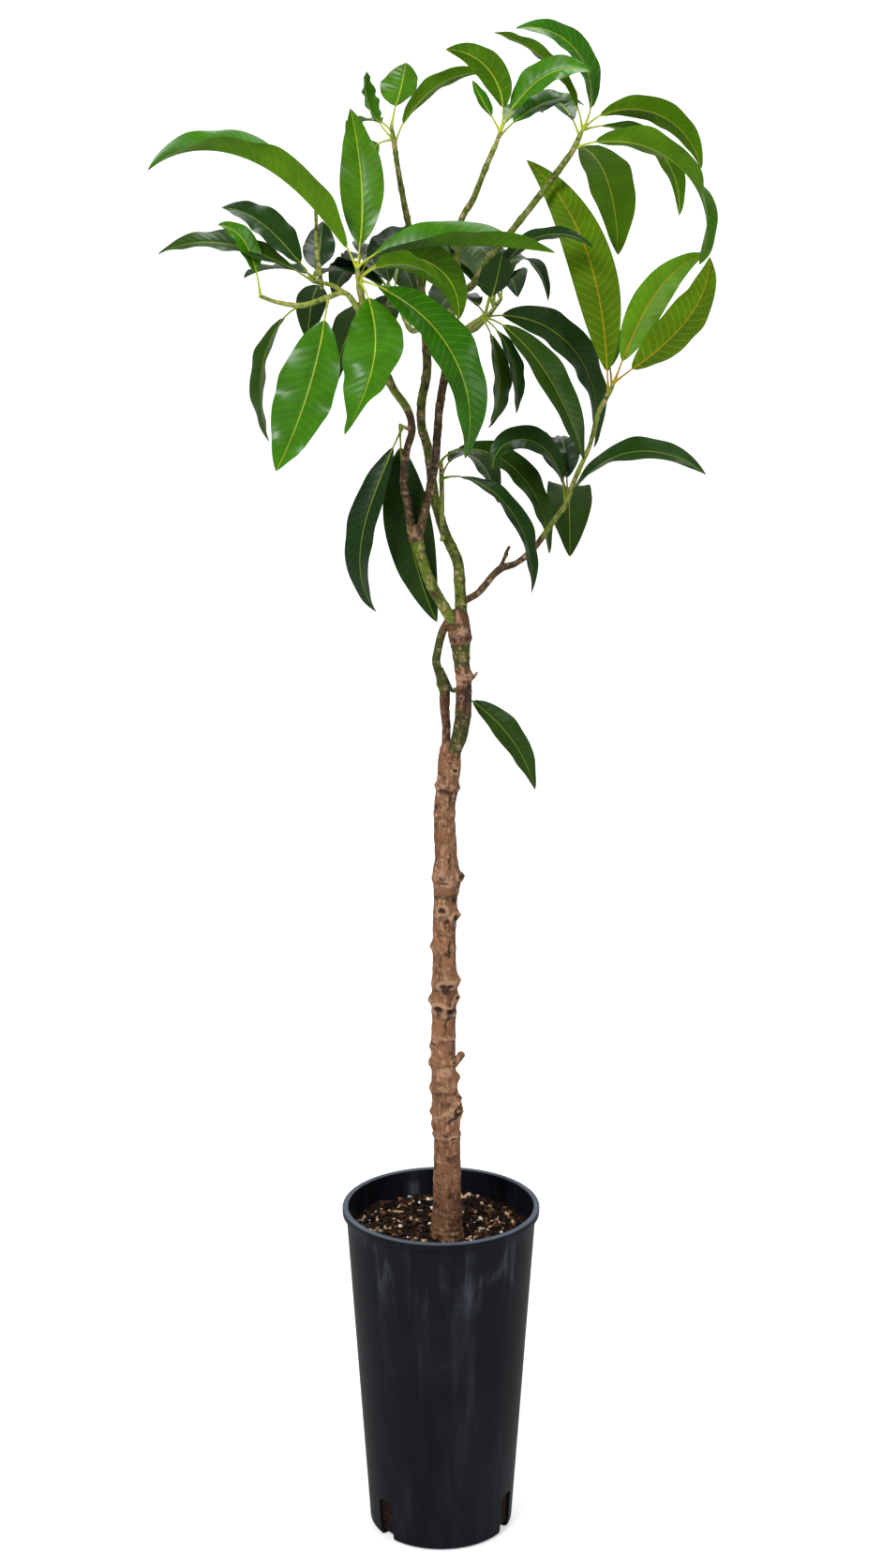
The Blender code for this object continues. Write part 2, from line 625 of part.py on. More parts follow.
    shoot = stem(left.flank(0.42, 140.0), [(-41, -19, 1304), (-44, -12, 1305)], (2.2, 2.2, 1.8))
    plant.add_mass("lower_left_leaves", shoot, [
        (0, 0.6, 205, -62, 72, 2.7, 0, 215, 42, -25),
        (0, 1.0, 20, -89, -24, 1.4, 0, 224, 54, -70),
    ], surfaces["mature"])

    shoot = stem(limbs["left_leader"].flank(0.55, 45.0), [(12, 17, 1007), (16, 19, 1008)],
                 (2.4, 2.4, 1.8))
    plant.add_mass("lone_leaf", shoot, [(0, 0.8, 8, -28, 50, 1.1, 0, 154, 36, 55)], surfaces["mature"])

    shoot = stem(limbs["inner_bough"].flank(0.62, 105.0), [(-32, 50, 1400), (-44, 80, 1420),
                                                          (-60, 104, 1442)],
                 (3.4, 3.2, 3.0, 2.2))
    plant.add_mass("rear_left_leaves", shoot,
                   spray(11, 7, 0, (78, 150), (10, 60), (60, 110), (150, 190), (40, 50)),
                   surfaces["mature"])
    shoot = stem(limbs["centre_bough"].flank(0.55, 80.0), [(32, 40, 1400), (50, 70, 1412),
                                                          (66, 98, 1430)],
                 (3.2, 3.0, 2.8, 2.2))
    plant.add_mass("rear_right_leaves", shoot,
                   spray(12, 7, 0, (86, 128), (10, 60), (60, 110), (150, 190), (40, 50)),
                   surfaces["mature"])


clear_scene()
surfaces = {
    "bark": material("bark", BARK, 0.85),
    "green_bark": material("green_bark", GREEN_BARK, 0.6),
    "pot": material("pot_plastic", POT_BLACK, 0.45),
    "mix": material("potting_mix", MIX_BROWN, 0.95),
    "fresh": material("fresh_leaf", FRESH_GREEN, 0.35),
    "young": material("young_leaf", YOUNG_GREEN, 0.4),
    "mature": material("mature_leaf", MATURE_GREEN, 0.35),
}
build_pot()
build_mix()
mango = Plant()
build_foliage(mango, build_frame(mango))
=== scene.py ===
"""Young mango tree in a tall nursery pot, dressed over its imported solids.

Sizes are in millimetres until a mesh is made, with the origin in the middle of the pot's
underside: X to the right, Y away from the best side, Z up. Headings are in degrees: 0 is +X,
90 is +Y. Everything on the plant rides on the one body, root.
"""

import math
import random

import bmesh
import bpy
import numpy as np
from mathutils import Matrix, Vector, noise


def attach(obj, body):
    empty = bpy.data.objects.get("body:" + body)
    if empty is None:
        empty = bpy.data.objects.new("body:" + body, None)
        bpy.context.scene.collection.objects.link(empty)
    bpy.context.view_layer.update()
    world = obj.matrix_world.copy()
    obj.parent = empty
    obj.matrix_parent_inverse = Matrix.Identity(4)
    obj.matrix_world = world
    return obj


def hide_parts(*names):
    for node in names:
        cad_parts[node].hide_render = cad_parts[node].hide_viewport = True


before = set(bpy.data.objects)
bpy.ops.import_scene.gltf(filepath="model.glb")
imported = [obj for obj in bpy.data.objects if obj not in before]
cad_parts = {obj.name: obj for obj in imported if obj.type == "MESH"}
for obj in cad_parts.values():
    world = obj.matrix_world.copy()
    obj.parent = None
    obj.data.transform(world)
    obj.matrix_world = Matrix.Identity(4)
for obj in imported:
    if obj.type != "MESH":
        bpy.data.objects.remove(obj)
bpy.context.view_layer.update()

MM = 0.001

# --- Camera ---------------------------------------------------------------------------------
# Stands 2.94 m in front of the pot at eye height and looks down at the middle of the plant.

CAMERA_SPOT = (0.0, -2.94, 1.664)
CAMERA_DIP = 14.5

camera = bpy.data.objects.new("camera", bpy.data.cameras.new("camera"))
bpy.context.scene.collection.objects.link(camera)
camera.location = CAMERA_SPOT
camera.rotation_euler = (math.radians(90.0 - CAMERA_DIP), 0.0, 0.0)
camera.data.sensor_fit = "VERTICAL"
camera.data.sensor_height = 36.0
camera.data.lens = 62.55
bpy.context.scene.camera = camera
bpy.context.scene.view_settings.view_transform = "Standard"

# --- Floor and light ------------------------------------------------------------------------
# A pale seamless sweep with a painted glow, weaker near the plant and brighter away from it,
# with a large soft light on the left, a weaker one on the right and one above, in a white room.


def new_mesh(name, points, faces):
    made = bpy.data.meshes.new(name)
    made.from_pydata(points, [], faces)
    return made


def new_object(name, mesh):
    made = bpy.data.objects.new(name, mesh)
    bpy.context.scene.collection.objects.link(made)
    return made


class Value:
    """A number or a colour that a surface works out at each point."""

    def __init__(self, surface, socket):
        self.surface = surface
        self.socket = socket

    def math(self, operation, *others):
        inputs = dict(enumerate((self,) + others))
        return self.surface.node("ShaderNodeMath", {"operation": operation}, inputs)

    def __add__(self, other):
        return self.math("ADD", other)

    def __mul__(self, other):
        return self.math("MULTIPLY", other)

    def __sub__(self, other):
        return self.math("SUBTRACT", other)

    def __rsub__(self, other):
        return self * -1.0 + other

    def between(self, low, high):
        """0 below `low`, 1 above `high` and a smooth step between them."""
        inputs = {"Value": self, "From Min": low, "From Max": high}
        return self.surface.node("ShaderNodeMapRange", {"interpolation_type": "SMOOTHSTEP"}, inputs)


class Surface:
    """A material and the nodes that give it its colour, shine and relief."""

    def __init__(self, name, color, roughness, shine=0.5):
        self.material = bpy.data.materials.new(name)
        self.material.use_nodes = True
        self.tree = self.material.node_tree
        self.shader = self.tree.nodes["Principled BSDF"]
        self.material.diffuse_color = (*color, 1.0)
        self.set("Base Color", (*color, 1.0))
        self.set("Roughness", roughness)
        self.set("Specular IOR Level", shine)

    def set(self, key, value):
        if isinstance(value, Value):
            self.tree.links.new(value.socket, self.shader.inputs[key])
        else:
            self.shader.inputs[key].default_value = value

    def node(self, kind, settings=None, inputs=None, output=0):
        made = self.tree.nodes.new(kind)
        for key, value in (settings or {}).items():
            setattr(made, key, value)
        for key, value in (inputs or {}).items():
            if isinstance(value, Value):
                self.tree.links.new(value.socket, made.inputs[key])
            else:
                made.inputs[key].default_value = value
        return Value(self, made.outputs[output])

    def place(self, stretch=(1.0, 1.0, 1.0)):
        """The place on the object in metres, stretched along each axis."""
        spot = self.node("ShaderNodeTexCoord", output="Object")
        return self.node("ShaderNodeVectorMath", {"operation": "MULTIPLY"}, {0: spot, 1: stretch})

    def height(self):
        spot = self.node("ShaderNodeTexCoord", output="Object")
        return self.node("ShaderNodeSeparateXYZ", inputs={0: spot}, output="Z")

    def noise(self, scale, detail=4.0, rough=0.55, stretch=(1.0, 1.0, 1.0), warp=0.0):
        inputs = {"Vector": self.place(stretch), "Scale": scale, "Detail": detail,
                  "Roughness": rough, "Distortion": warp}
        return self.node("ShaderNodeTexNoise", inputs=inputs)

    def mix(self, share, one, other):
        """`one` where share is 0 and `other` where it is 1, both colours."""
        inputs = {0: share, 6: one, 7: other}
        return self.node("ShaderNodeMix", {"data_type": "RGBA"}, inputs, output=2)

    def relief(self, height, depth, strength=1.0):
        inputs = {"Height": height, "Distance": depth, "Strength": strength}
        self.set("Normal", self.node("ShaderNodeBump", inputs=inputs))


def rgb(red, green, blue):
    """A colour from 0 to 255 as the screen counts, turned into light."""
    return tuple((c / 255 / 12.92) if c <= 10 else ((c / 255 + 0.055) / 1.055) ** 2.4
                 for c in (red, green, blue)) + (1.0,)


def dimmed(color, share):
    return tuple(c * share for c in color[:3]) + (1.0,)


SWEEP_WIDTH = 12.0
SWEEP_FRONT = -10.0
SWEEP_BACK = 9.0
SWEEP_BEND = 2.0
SWEEP_BEND_STEPS = 24
SWEEP_TOP = 6.0
SWEEP_DROP = 0.0004

outline = [(SWEEP_FRONT, 0.0)]
for i in range(SWEEP_BEND_STEPS + 1):
    turn = math.radians(90.0 * i / SWEEP_BEND_STEPS)
    outline.append((SWEEP_BACK + SWEEP_BEND * math.sin(turn), SWEEP_BEND * (1 - math.cos(turn))))
outline.append((SWEEP_BACK + SWEEP_BEND, SWEEP_TOP))
mesh = new_mesh(
    "sweep", [(x, y, z - SWEEP_DROP) for y, z in outline for x in (-SWEEP_WIDTH, SWEEP_WIDTH)],
    [(2 * i, 2 * i + 1, 2 * i + 3, 2 * i + 2) for i in range(len(outline) - 1)])
mesh.shade_smooth()
sweep = new_object("sweep", mesh)
paper = Surface("sweep_paper", (0.62, 0.62, 0.62), 0.9, 0.1)
paper.set("Base Color", paper.mix(paper.noise(3.0), (0.61, 0.61, 0.61, 1), (0.63, 0.63, 0.63, 1)))
# Painted glow: the sweep gives off light of its own, weaker near the plant and stronger away from it.
away = paper.node("ShaderNodeVectorMath", {"operation": "LENGTH"}, {0: paper.place()}, "Value")
painted_glow = paper.mix(away.between(0.8, 3.8), (0.45, 0.45, 0.45, 1), (0.85, 0.85, 0.85, 1))
paper.set("Emission Color", painted_glow)
paper.set("Emission Strength", 1.0)
mesh.materials.append(paper.material)

world = bpy.data.worlds.new("room")
bpy.context.scene.world = world
world.use_nodes = True
room_light = world.node_tree.nodes["Background"].inputs
room_light["Color"].default_value = (1.0, 1.0, 1.0, 1.0)
room_light["Strength"].default_value = 0.4

for name, spot, size, power in (
    ("soft_left", (-1.5, -2.4, 3.2), 1.2, 130.0),
    ("soft_right", (2.2, -2.2, 2.4), 1.2, 30.0),
    ("soft_top", (0.3, 0.8, 4.2), 2.0, 110.0),
):
    lamp = bpy.data.objects.new(name, bpy.data.lights.new(name, "AREA"))
    bpy.context.scene.collection.objects.link(lamp)
    lamp.data.shape = "DISK"
    lamp.data.size = size
    lamp.data.energy = power
    lamp.location = spot
    lamp.rotation_euler = (Vector((0.0, 0.0, 1.0)) - lamp.location).to_track_quat("-Z", "Y").to_euler()

# --- Nursery pot ----------------------------------------------------------------------------
# Black polypropylene, blown thin, with a rolled rim and three drain slots cut at the foot. The
# upper wall is scuffed grey where pots have been pulled out of each other.

POT_SIDES = 192
POT_HEIGHT = 400.0
POT_RIM_RADIUS = 114.3
POT_TOP_RADIUS = 109.8
POT_BASE_RADIUS = 84.3
POT_WALL = 2.2
POT_LIP = 9.0
POT_FOOT = 6.0
DRAIN_HEADINGS = (-139.0, -27.0, 97.0)
DRAIN_WIDTH = 22.0
DRAIN_HEIGHT = 50.0
DRAIN_CORNER = 6.0
DENT_HEADING = -119.0
DENT_HEIGHT = 352.0


def arc(centre, radius, start, end, steps):
    made = []
    for i in range(steps + 1):
        turn = math.radians(start + (end - start) * i / steps)
        made.append((centre[0] + radius * math.cos(turn), centre[1] + radius * math.sin(turn)))
    return made


def ring_faces(rings, sides, first=0):
    """Quads between rings of points that follow each other, from the point numbered `first` on."""
    return [(low + k, low + (k + 1) % sides, low + sides + (k + 1) % sides, low + sides + k)
            for low in range(first, first + (rings - 1) * sides, sides) for k in range(sides)]


def turned(name, profile, sides, shape=None):
    """A mesh turned about the Z axis from a closed (radius, height) outline in millimetres."""
    points = []
    for radius, z in profile:
        for k in range(sides):
            turn = 2 * math.pi * k / sides
            grown = radius + (shape(turn, z) if shape else 0.0) if radius > 0 else 0.0
            points.append((grown * math.cos(turn) * MM, grown * math.sin(turn) * MM, z * MM))
    made = new_mesh(name, points, ring_faces(len(profile), sides))
    shell = bmesh.new()
    shell.from_mesh(made)
    bmesh.ops.remove_doubles(shell, verts=shell.verts, dist=1e-7)
    bmesh.ops.recalc_face_normals(shell, faces=shell.faces)
    shell.to_mesh(made)
    shell.free()
    made.shade_smooth()
    made.set_sharp_from_angle(angle=math.radians(40))
    return made


def dress(piece, slot, *nodes):
    """Puts a piece on the one body, in the place of its CAD nodes where it has any."""
    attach(piece, "root")
    if nodes:
        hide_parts(*nodes)


def wall_radius(z):
    """Outer radius of the straight wall at a height."""
    share = (z - POT_FOOT) / (POT_HEIGHT - POT_LIP - POT_FOOT)
    return POT_BASE_RADIUS + (POT_TOP_RADIUS - POT_BASE_RADIUS) * share


def bell(off, reach):
    """1 where `off` is 0, and nothing a few times `reach` away."""
    return math.exp(-((off / reach) ** 2))


def pot_dent(turn, z):
    """The wall is a little out of round, with one shallow upright crease near the rim."""
    off = turn - math.radians(DENT_HEADING)
    off = math.atan2(math.sin(off), math.cos(off))
    dent = -0.9 * bell(off, 1 / 35) * bell(z - DENT_HEIGHT, 22.0)
    return dent + 0.35 * math.sin(2 * turn + 0.6) * z / POT_HEIGHT


lip = (POT_RIM_RADIUS - POT_TOP_RADIUS) / 2
profile = [(0.0, 0.0), (0.5 * POT_BASE_RADIUS, 0.0)]
profile += arc((POT_BASE_RADIUS - POT_FOOT, POT_FOOT), POT_FOOT, -90, 0, 8)
profile += [(wall_radius(z), z) for z in np.linspace(20.0, POT_HEIGHT - 10.5, 26)]
profile += [(POT_TOP_RADIUS + 0.4, POT_HEIGHT - POT_LIP - 0.6), (POT_RIM_RADIUS - 0.9, POT_HEIGHT - POT_LIP)]
profile += [(POT_RIM_RADIUS - 0.2, POT_HEIGHT - 8.2)]
profile += arc((POT_RIM_RADIUS - lip, POT_HEIGHT - lip), lip, 0, 90, 7)
profile += arc((POT_TOP_RADIUS - 1.0, POT_HEIGHT - 1.2), 1.2, 90, 180, 4)
profile += [(wall_radius(z) - POT_WALL, z) for z in np.linspace(POT_HEIGHT - 6.0, 12.0, 24)]
profile += [(POT_BASE_RADIUS - POT_FOOT, POT_WALL), (0.0, POT_WALL)]
pot = new_object("nursery_pot", turned("nursery_pot", profile, POT_SIDES, pot_dent))
for heading in DRAIN_HEADINGS:
    half = DRAIN_WIDTH / 2
    slot_line = [(-half, -5.0), (half, -5.0)]
    for side, start in ((1, 0), (-1, 90)):
        corner = (side * (half - DRAIN_CORNER), DRAIN_HEIGHT - DRAIN_CORNER)
        slot_line += arc(corner, DRAIN_CORNER, start, start + 90, 5)
    out = Vector((math.cos(math.radians(heading)), math.sin(math.radians(heading)), 0.0))
    side = Vector((-out.y, out.x, 0.0))
    points = [(out * r + side * u + Vector((0, 0, v))) * MM
              for r in (POT_BASE_RADIUS - 14.0, POT_BASE_RADIUS + 12.0) for u, v in slot_line]
    count = len(slot_line)
    faces = [tuple(range(count))[::-1], tuple(range(count, 2 * count))]
    faces += [(i, (i + 1) % count, count + (i + 1) % count, count + i) for i in range(count)]
    cutter = new_object("drain", new_mesh("drain", points, faces))
    cut = pot.modifiers.new("drain", "BOOLEAN")
    cut.operation = "DIFFERENCE"
    cut.object = cutter
    cut.solver = "EXACT"
    graph = bpy.context.evaluated_depsgraph_get()
    pot.data = bpy.data.meshes.new_from_object(pot.evaluated_get(graph))
    pot.modifiers.clear()
    bpy.data.objects.remove(cutter, do_unlink=True)
pot.data.name = "nursery_pot"
plastic = Surface("pot_plastic_worn_lip_highlight", (0.010, 0.010, 0.014), 0.5, 0.04)
height = plastic.height()
streaks = plastic.noise(55.0, 5.0, 0.6, (1.0, 1.0, 0.05))
smudge = plastic.noise(14.0, 4.0, 0.6, (1.0, 1.0, 0.45), 0.6)
band = height.between(0.29, 0.355) * (1.0 - height.between(0.378, 0.39))
scuff = (smudge * 0.55 + streaks * 0.45).between(0.5, 0.72) * band
dust = streaks.between(0.48, 0.75) * 0.5 + smudge.between(0.45, 0.75) * 0.4
body = plastic.mix(dust, (0.005, 0.0052, 0.0078, 1), (0.018, 0.020, 0.027, 1))
worn = plastic.mix(scuff, body, (0.065, 0.074, 0.09, 1))
# A thin painted highlight, pale bluish grey, along the top edge of the rolled lip.
lip_highlight = height.between(0.3986, 0.3994) * (smudge * 0.7 + 0.3)
plastic.set("Base Color", plastic.mix(lip_highlight, worn, (0.10, 0.12, 0.15, 1)))
plastic.set("Roughness", scuff * 0.2 + streaks * 0.12 + 0.5)
plastic.relief(streaks * 0.4 + plastic.noise(420.0, 2.0) * 0.25, 0.0004, 0.5)
pot.data.materials.clear()
pot.data.materials.append(plastic.material)
dress(pot, "pot_plastic", "pot")

# --- Potting mix ----------------------------------------------------------------------------
# Composted bark and peat with perlite: a lumpy dark bed, loose chips of bark on it and white
# or pinkish grains of perlite. It fills the pot to 30 mm under the rim.

MIX_TOP = 370.0
TRUNK_FOOT = (7.0, -20.0)
TRUNK_CLEAR = 19.0
GRAIN_COUNT = 170
CHIP_COUNT = 820


def mix_height(x, y):
    spot = Vector((x, y, 0.0))
    return MIX_TOP - 1.0 + sum(noise.noise(spot / size) * rise
                               for size, rise in ((17.0, 3.4), (6.0, 2.2), (2.6, 0.9)))


def mix_wall(z):
    return wall_radius(z) - POT_WALL - 0.8


profile = [(0.0, POT_WALL + 0.3), (POT_BASE_RADIUS - POT_FOOT - 3.0, POT_WALL + 0.3)]
profile += [(mix_wall(z), z) for z in np.linspace(9.0, MIX_TOP - 3.0, 30)]
profile += [(r, MIX_TOP) for r in np.linspace(mix_wall(MIX_TOP), 0.0, 56)]
mesh = turned("mix_bed", profile, 144)
for vertex in mesh.vertices:
    x, y, z = vertex.co / MM
    if z > MIX_TOP - 1.0:
        vertex.co.z = mix_height(x, y) * MM
    elif z > POT_WALL + 1.0:
        vertex.co.xy *= 1.0 - 0.012 * abs(noise.noise(Vector((x, y, z)) / 5.0))
bed = new_object("mix_bed", mesh)
soil = Surface("mix_soil", (0.02, 0.012, 0.008), 0.95, 0.05)
grit = soil.noise(320.0, 5.0, 0.7)
soil.set("Base Color", soil.mix(grit.between(0.4, 0.75), (0.004, 0.003, 0.002, 1),
                                (0.045, 0.022, 0.012, 1)))
soil.relief(grit + soil.noise(900.0, 3.0) * 0.5, 0.0022, 1.0)
mesh.materials.append(soil.material)
dress(bed, "potting_mix", "potting_mix")


def joined(name, shapes):
    """One mesh from many (points, faces, more) shapes in millimetres."""
    points, faces = [], []
    for spots, sides, _ in shapes:
        faces += [tuple(len(points) + i for i in face) for face in sides]
        points += [[c * MM for c in spot] for spot in spots]
    return new_mesh(name, points, faces)


def scattered(name, shapes, surfaces):
    """Loose pieces on the bed, from (points, faces, number of their surface) shapes."""
    made = joined(name, shapes)
    for surface in surfaces:
        made.materials.append(surface.material)
    numbers = [number for _, sides, number in shapes for _ in sides]
    made.polygons.foreach_set("material_index", numbers)
    dress(new_object(name, made), "potting_mix")


def mix_spot(dice, margin):
    """A free place on the bed, clear of the pot's wall and of the trunk."""
    while True:
        radius = (mix_wall(MIX_TOP) - margin) * math.sqrt(dice.random())
        turn = dice.uniform(0, 2 * math.pi)
        x, y = radius * math.cos(turn), radius * math.sin(turn)
        if math.hypot(x - TRUNK_FOOT[0], y - TRUNK_FOOT[1]) > TRUNK_CLEAR + margin:
            return x, y


dice = random.Random(21)
shapes = []
for _ in range(CHIP_COUNT):
    long, wide, thick = dice.uniform(3, 14), dice.uniform(2, 6.5), dice.uniform(0.8, 3.0)
    x, y = mix_spot(dice, 6.0)
    turn, tip, tilt = dice.uniform(0, 2 * math.pi), dice.gauss(0, 0.4), dice.gauss(0, 0.4)
    ahead = Vector((math.cos(turn) * math.cos(tip), math.sin(turn) * math.cos(tip), math.sin(tip)))
    across = Vector((-math.sin(turn), math.cos(turn), tilt)).normalized()
    up = ahead.cross(across)
    middle = Vector((x, y, mix_height(x, y) + 0.6 + thick * 0.3))
    spots = [middle + ahead * a * long / 2 * dice.uniform(0.6, 1.1)
             + across * b * wide / 2 * dice.uniform(0.55, 1.1) + up * c * thick / 2
             for a in (-1, 1) for b in (-1, 1) for c in (-1, 1)]
    sides = [(0, 1, 3, 2), (4, 6, 7, 5), (0, 4, 5, 1), (2, 3, 7, 6), (0, 2, 6, 4), (1, 5, 7, 3)]
    shapes.append((spots, sides, dice.choice((0, 0, 0, 0, 0, 1, 1, 1, 2, 3))))
barks = [Surface(f"chip_{name}", color, rough, 0.1) for name, color, rough in (
    ("dark", (0.006, 0.004, 0.003), 0.85), ("brown", (0.035, 0.015, 0.008), 0.8),
    ("pale", (0.12, 0.06, 0.028), 0.8), ("cream", (0.40, 0.26, 0.15), 0.8))]
for bark in barks:
    grain = bark.noise(700.0, 3.0)
    shade = bark.shader.inputs["Base Color"].default_value[:]
    bark.set("Base Color", bark.mix(grain.between(0.3, 0.75), dimmed(shade, 0.6), dimmed(shade, 1.3)))
    bark.relief(grain, 0.0006, 0.7)
scattered("bark_chips", shapes, barks)

shapes = []
ball = bmesh.new()
bmesh.ops.create_icosphere(ball, subdivisions=1, radius=1.0)
ball_points = [v.co.copy() for v in ball.verts]
ball_faces = [tuple(v.index for v in f.verts) for f in ball.faces]
ball.free()
for _ in range(GRAIN_COUNT):
    x, y = mix_spot(dice, 3.5)
    size = dice.choice((0.7, 0.9, 1.2, 1.6, 2.2, 3.0))
    middle = Vector((x, y, mix_height(x, y) + size * 0.7))
    spots = [middle + p * size * dice.uniform(0.65, 1.2) for p in ball_points]
    shapes.append((spots, ball_faces, dice.choice((0, 0, 0, 1, 2))))
grains = [Surface(f"perlite_{name}", color, rough) for name, color, rough in (
    ("white", (0.70, 0.62, 0.52), 0.7), ("pink", (0.55, 0.36, 0.26), 0.7), ("tan", (0.34, 0.21, 0.12), 0.8))]
for grain in grains:
    shade = grain.shader.inputs["Base Color"].default_value[:]
    pits = grain.noise(1100.0, 3.0)
    grain.set("Base Color", grain.mix(pits.between(0.3, 0.8), dimmed(shade, 0.75), dimmed(shade, 1.1)))
    grain.relief(pits, 0.0005, 0.8)
scattered("perlite", shapes, grains)

# --- Trunk and boughs -----------------------------------------------------------------------
# Living wood: a slim pinkish-brown trunk with the scars and knots of old leaves and cut side
# shoots, and younger green boughs that grow on from its fork. The bark's relief is in the mesh.

GAP = 0.3


def smooth_line(points, steps):
    """Points along a Catmull-Rom curve through the given ones, `steps` to each stretch."""
    knots = [np.array(p, float) for p in points]
    knots = [2 * knots[0] - knots[1]] + knots + [2 * knots[-1] - knots[-2]]
    line = []
    for a, b, c, d in zip(knots, knots[1:], knots[2:], knots[3:]):
        for i in range(steps):
            t = i / steps
            line.append(0.5 * (2 * b + (c - a) * t + (2 * a - 5 * b + 4 * c - d) * t**2
                               + (3 * b - a - 3 * c + d) * t**3))
    line.append(knots[-2])
    return np.array(line)


def run_of(line):
    """How far along the line each of its points is."""
    return np.concatenate([[0.0], np.cumsum(np.linalg.norm(np.diff(line, axis=0), axis=1))])


def unit(vector):
    return vector / np.linalg.norm(vector)


def way_of(line, i):
    """The direction in which the line runs at a point."""
    return unit(line[min(i + 1, len(line) - 1)] - line[max(i - 1, 0)])


def turned_to(heading):
    return np.array((math.cos(math.radians(heading)), math.sin(math.radians(heading)), 0.0))


class Limb:
    """A tapering limb: its line, its radius along it, and where other pieces sit on it."""

    def __init__(self, waypoints, radii, steps=3):
        self.waypoints = [np.array(p, float) for p in waypoints]
        self.line = smooth_line(waypoints, steps)
        run = run_of(self.line)
        self.length = run[-1]
        self.along = run / self.length
        last = len(radii) - 1
        pairs = [r if isinstance(r, tuple) else (i / last, r) for i, r in enumerate(radii)]
        self.pairs = np.array(pairs, float)
        self.radii = np.interp(self.along, self.pairs[:, 0], self.pairs[:, 1])

    def top(self, offset=(0.0, 0.0)):
        along = way_of(self.line, len(self.line) - 1)
        shift = np.array((offset[0], offset[1], 0.0))
        return self.line[-1] + along * GAP + shift - along * shift.dot(along), along

    def flank(self, share, heading):
        i = int(np.argmin(abs(self.along - share)))
        along = way_of(self.line, i)
        out = turned_to(heading)
        out = unit(out - along * out.dot(along))
        widest = self.radii[max(i - 2, 0):i + 3].max()
        return self.line[i] + out * (widest + GAP + 0.2), out


def limb_from(seat, waypoints, radii, steps=3):
    return Limb([seat[0]] + list(waypoints), radii, steps)


TRUNK_LINE = (
    (7, -20, MIX_TOP + GAP), (7, -20, 412), (7, -19, 476), (6, -18, 516), (3, -17, 573),
    (3, -16, 618), (4, -15, 673), (3.5, -13, 736), (6, -12, 798), (4, -10, 872),
    (7.5, -8, 908), (10.5, -3, 943),
)
TRUNK_RADII = (
    (0, 20), (0.02, 17.8), (0.09, 16), (0.2, 15.2), (0.27, 16), (0.33, 14.2),
    (0.44, 13.4), (0.52, 14.4), (0.6, 12.8), (0.7, 13.2), (0.75, 15.6), (0.79, 12.6),
    (0.88, 12), (0.95, 12.8), (1, 12.4),
)
trunk = Limb(TRUNK_LINE, TRUNK_RADII, 4)
right_leader = limb_from(
    trunk.top((4, -6)),
    [(20, -9, 959), (24, -8, 981), (25, -6, 1002), (25, -4, 1024), (23, -2, 1043),
     (21.5, 0, 1062), (18.5, -1, 1092)],
    (8.2, 8.6, 8.8, 8.8, 8.6, 9, 12, 12.4))
left_leader = limb_from(
    trunk.top((-5.5, 8.5)),
    [(6, 8, 967), (4, 9, 988), (4, 9, 1006), (0, 8, 1022), (-5, 6, 1040), (-3, 4, 1058),
     (1, 2, 1074), (8, -3, 1090)],
    (4.4, 5, 5, 6, 5, 4.8, 4.7, 4.6, 4.4))
left_bough = limb_from(
    right_leader.top((-6.5, -5.5)),
    [(2, -10, 1108), (-12, -16, 1135), (-21, -20, 1162), (-27, -22, 1193)],
    (6.4, 6.2, 6, 5.9, 6.6))
inner_bough = limb_from(
    right_leader.top((4, 4.5)),
    [(21, 6, 1121), (18, 8, 1153), (6, 10, 1180), (-2, 12, 1204), (-8, 14, 1227),
     (-14, 16, 1274), (-21, 18, 1299), (-21, 18, 1326), (-15, 18, 1365), (-19, 16, 1430),
     (-26, 12, 1475), (-35, 8, 1517), (-43, 6, 1558), (-48, 4, 1590)],
    (7, 6.4, 6, 5.6, 5.4, 5.2, 5, 5, 4.9, 4.6, 4.2, 3.8, 3.4, 3, 2.8))
right_bough = limb_from(
    inner_bough.flank(0.03, -20),
    [(42, -4, 1122), (63, -8, 1147), (81, -10, 1154), (100, -12, 1170), (115, -14, 1191),
     (129, -16, 1212)],
    (3.9, 3.7, 3.8, 3.4, 3.3, 3.2, 3))
crown_bough = limb_from(
    left_bough.top((-5.2, -0.5)),
    [(-36, -24, 1221), (-40, -26, 1244), (-37, -30, 1278), (-31, -33, 1302),
     (-36, -38, 1325), (-54, -48, 1354), (-71, -60, 1402), (-81, -67, 1436)],
    (4.4, 4.2, 4.1, 4.1, 4.2, 4.4, 4.6, 4.5, 4.2))
centre_bough = limb_from(
    left_bough.top((5.2, 0.5)),
    [(-15, -22, 1224), (-11, -22.5, 1243), (-6, -22, 1268), (-2, -16, 1321), (4, -10, 1358),
     (10, -4, 1407), (16, 0, 1461), (20, 0, 1515), (34, -4, 1542), (48, -6, 1577)],
    (4.6, 4.5, 4.5, 4.5, 4.4, 4.2, 4, 3.8, 3.5, 3.4, 3))
top_right_bough = limb_from(
    centre_bough.flank(0.63, 15),
    [(34, 11, 1452), (50, 14, 1477), (73, 14, 1505), (108, 12, 1549), (137, 10, 1588)],
    (3.8, 3.8, 3.7, 3.6, 3.5, 3.2))

DARK, PALE, MOSS = (1, 0, 0), (0, 1, 0), (0, 0, 1)
# The rounded tip of a limb: (lift, share of the width) of its rings, in radii, and its top.
DOME = ((0.35, 0.92), (0.62, 0.72), (0.8, 0.4))
DOME_TOP = 0.86


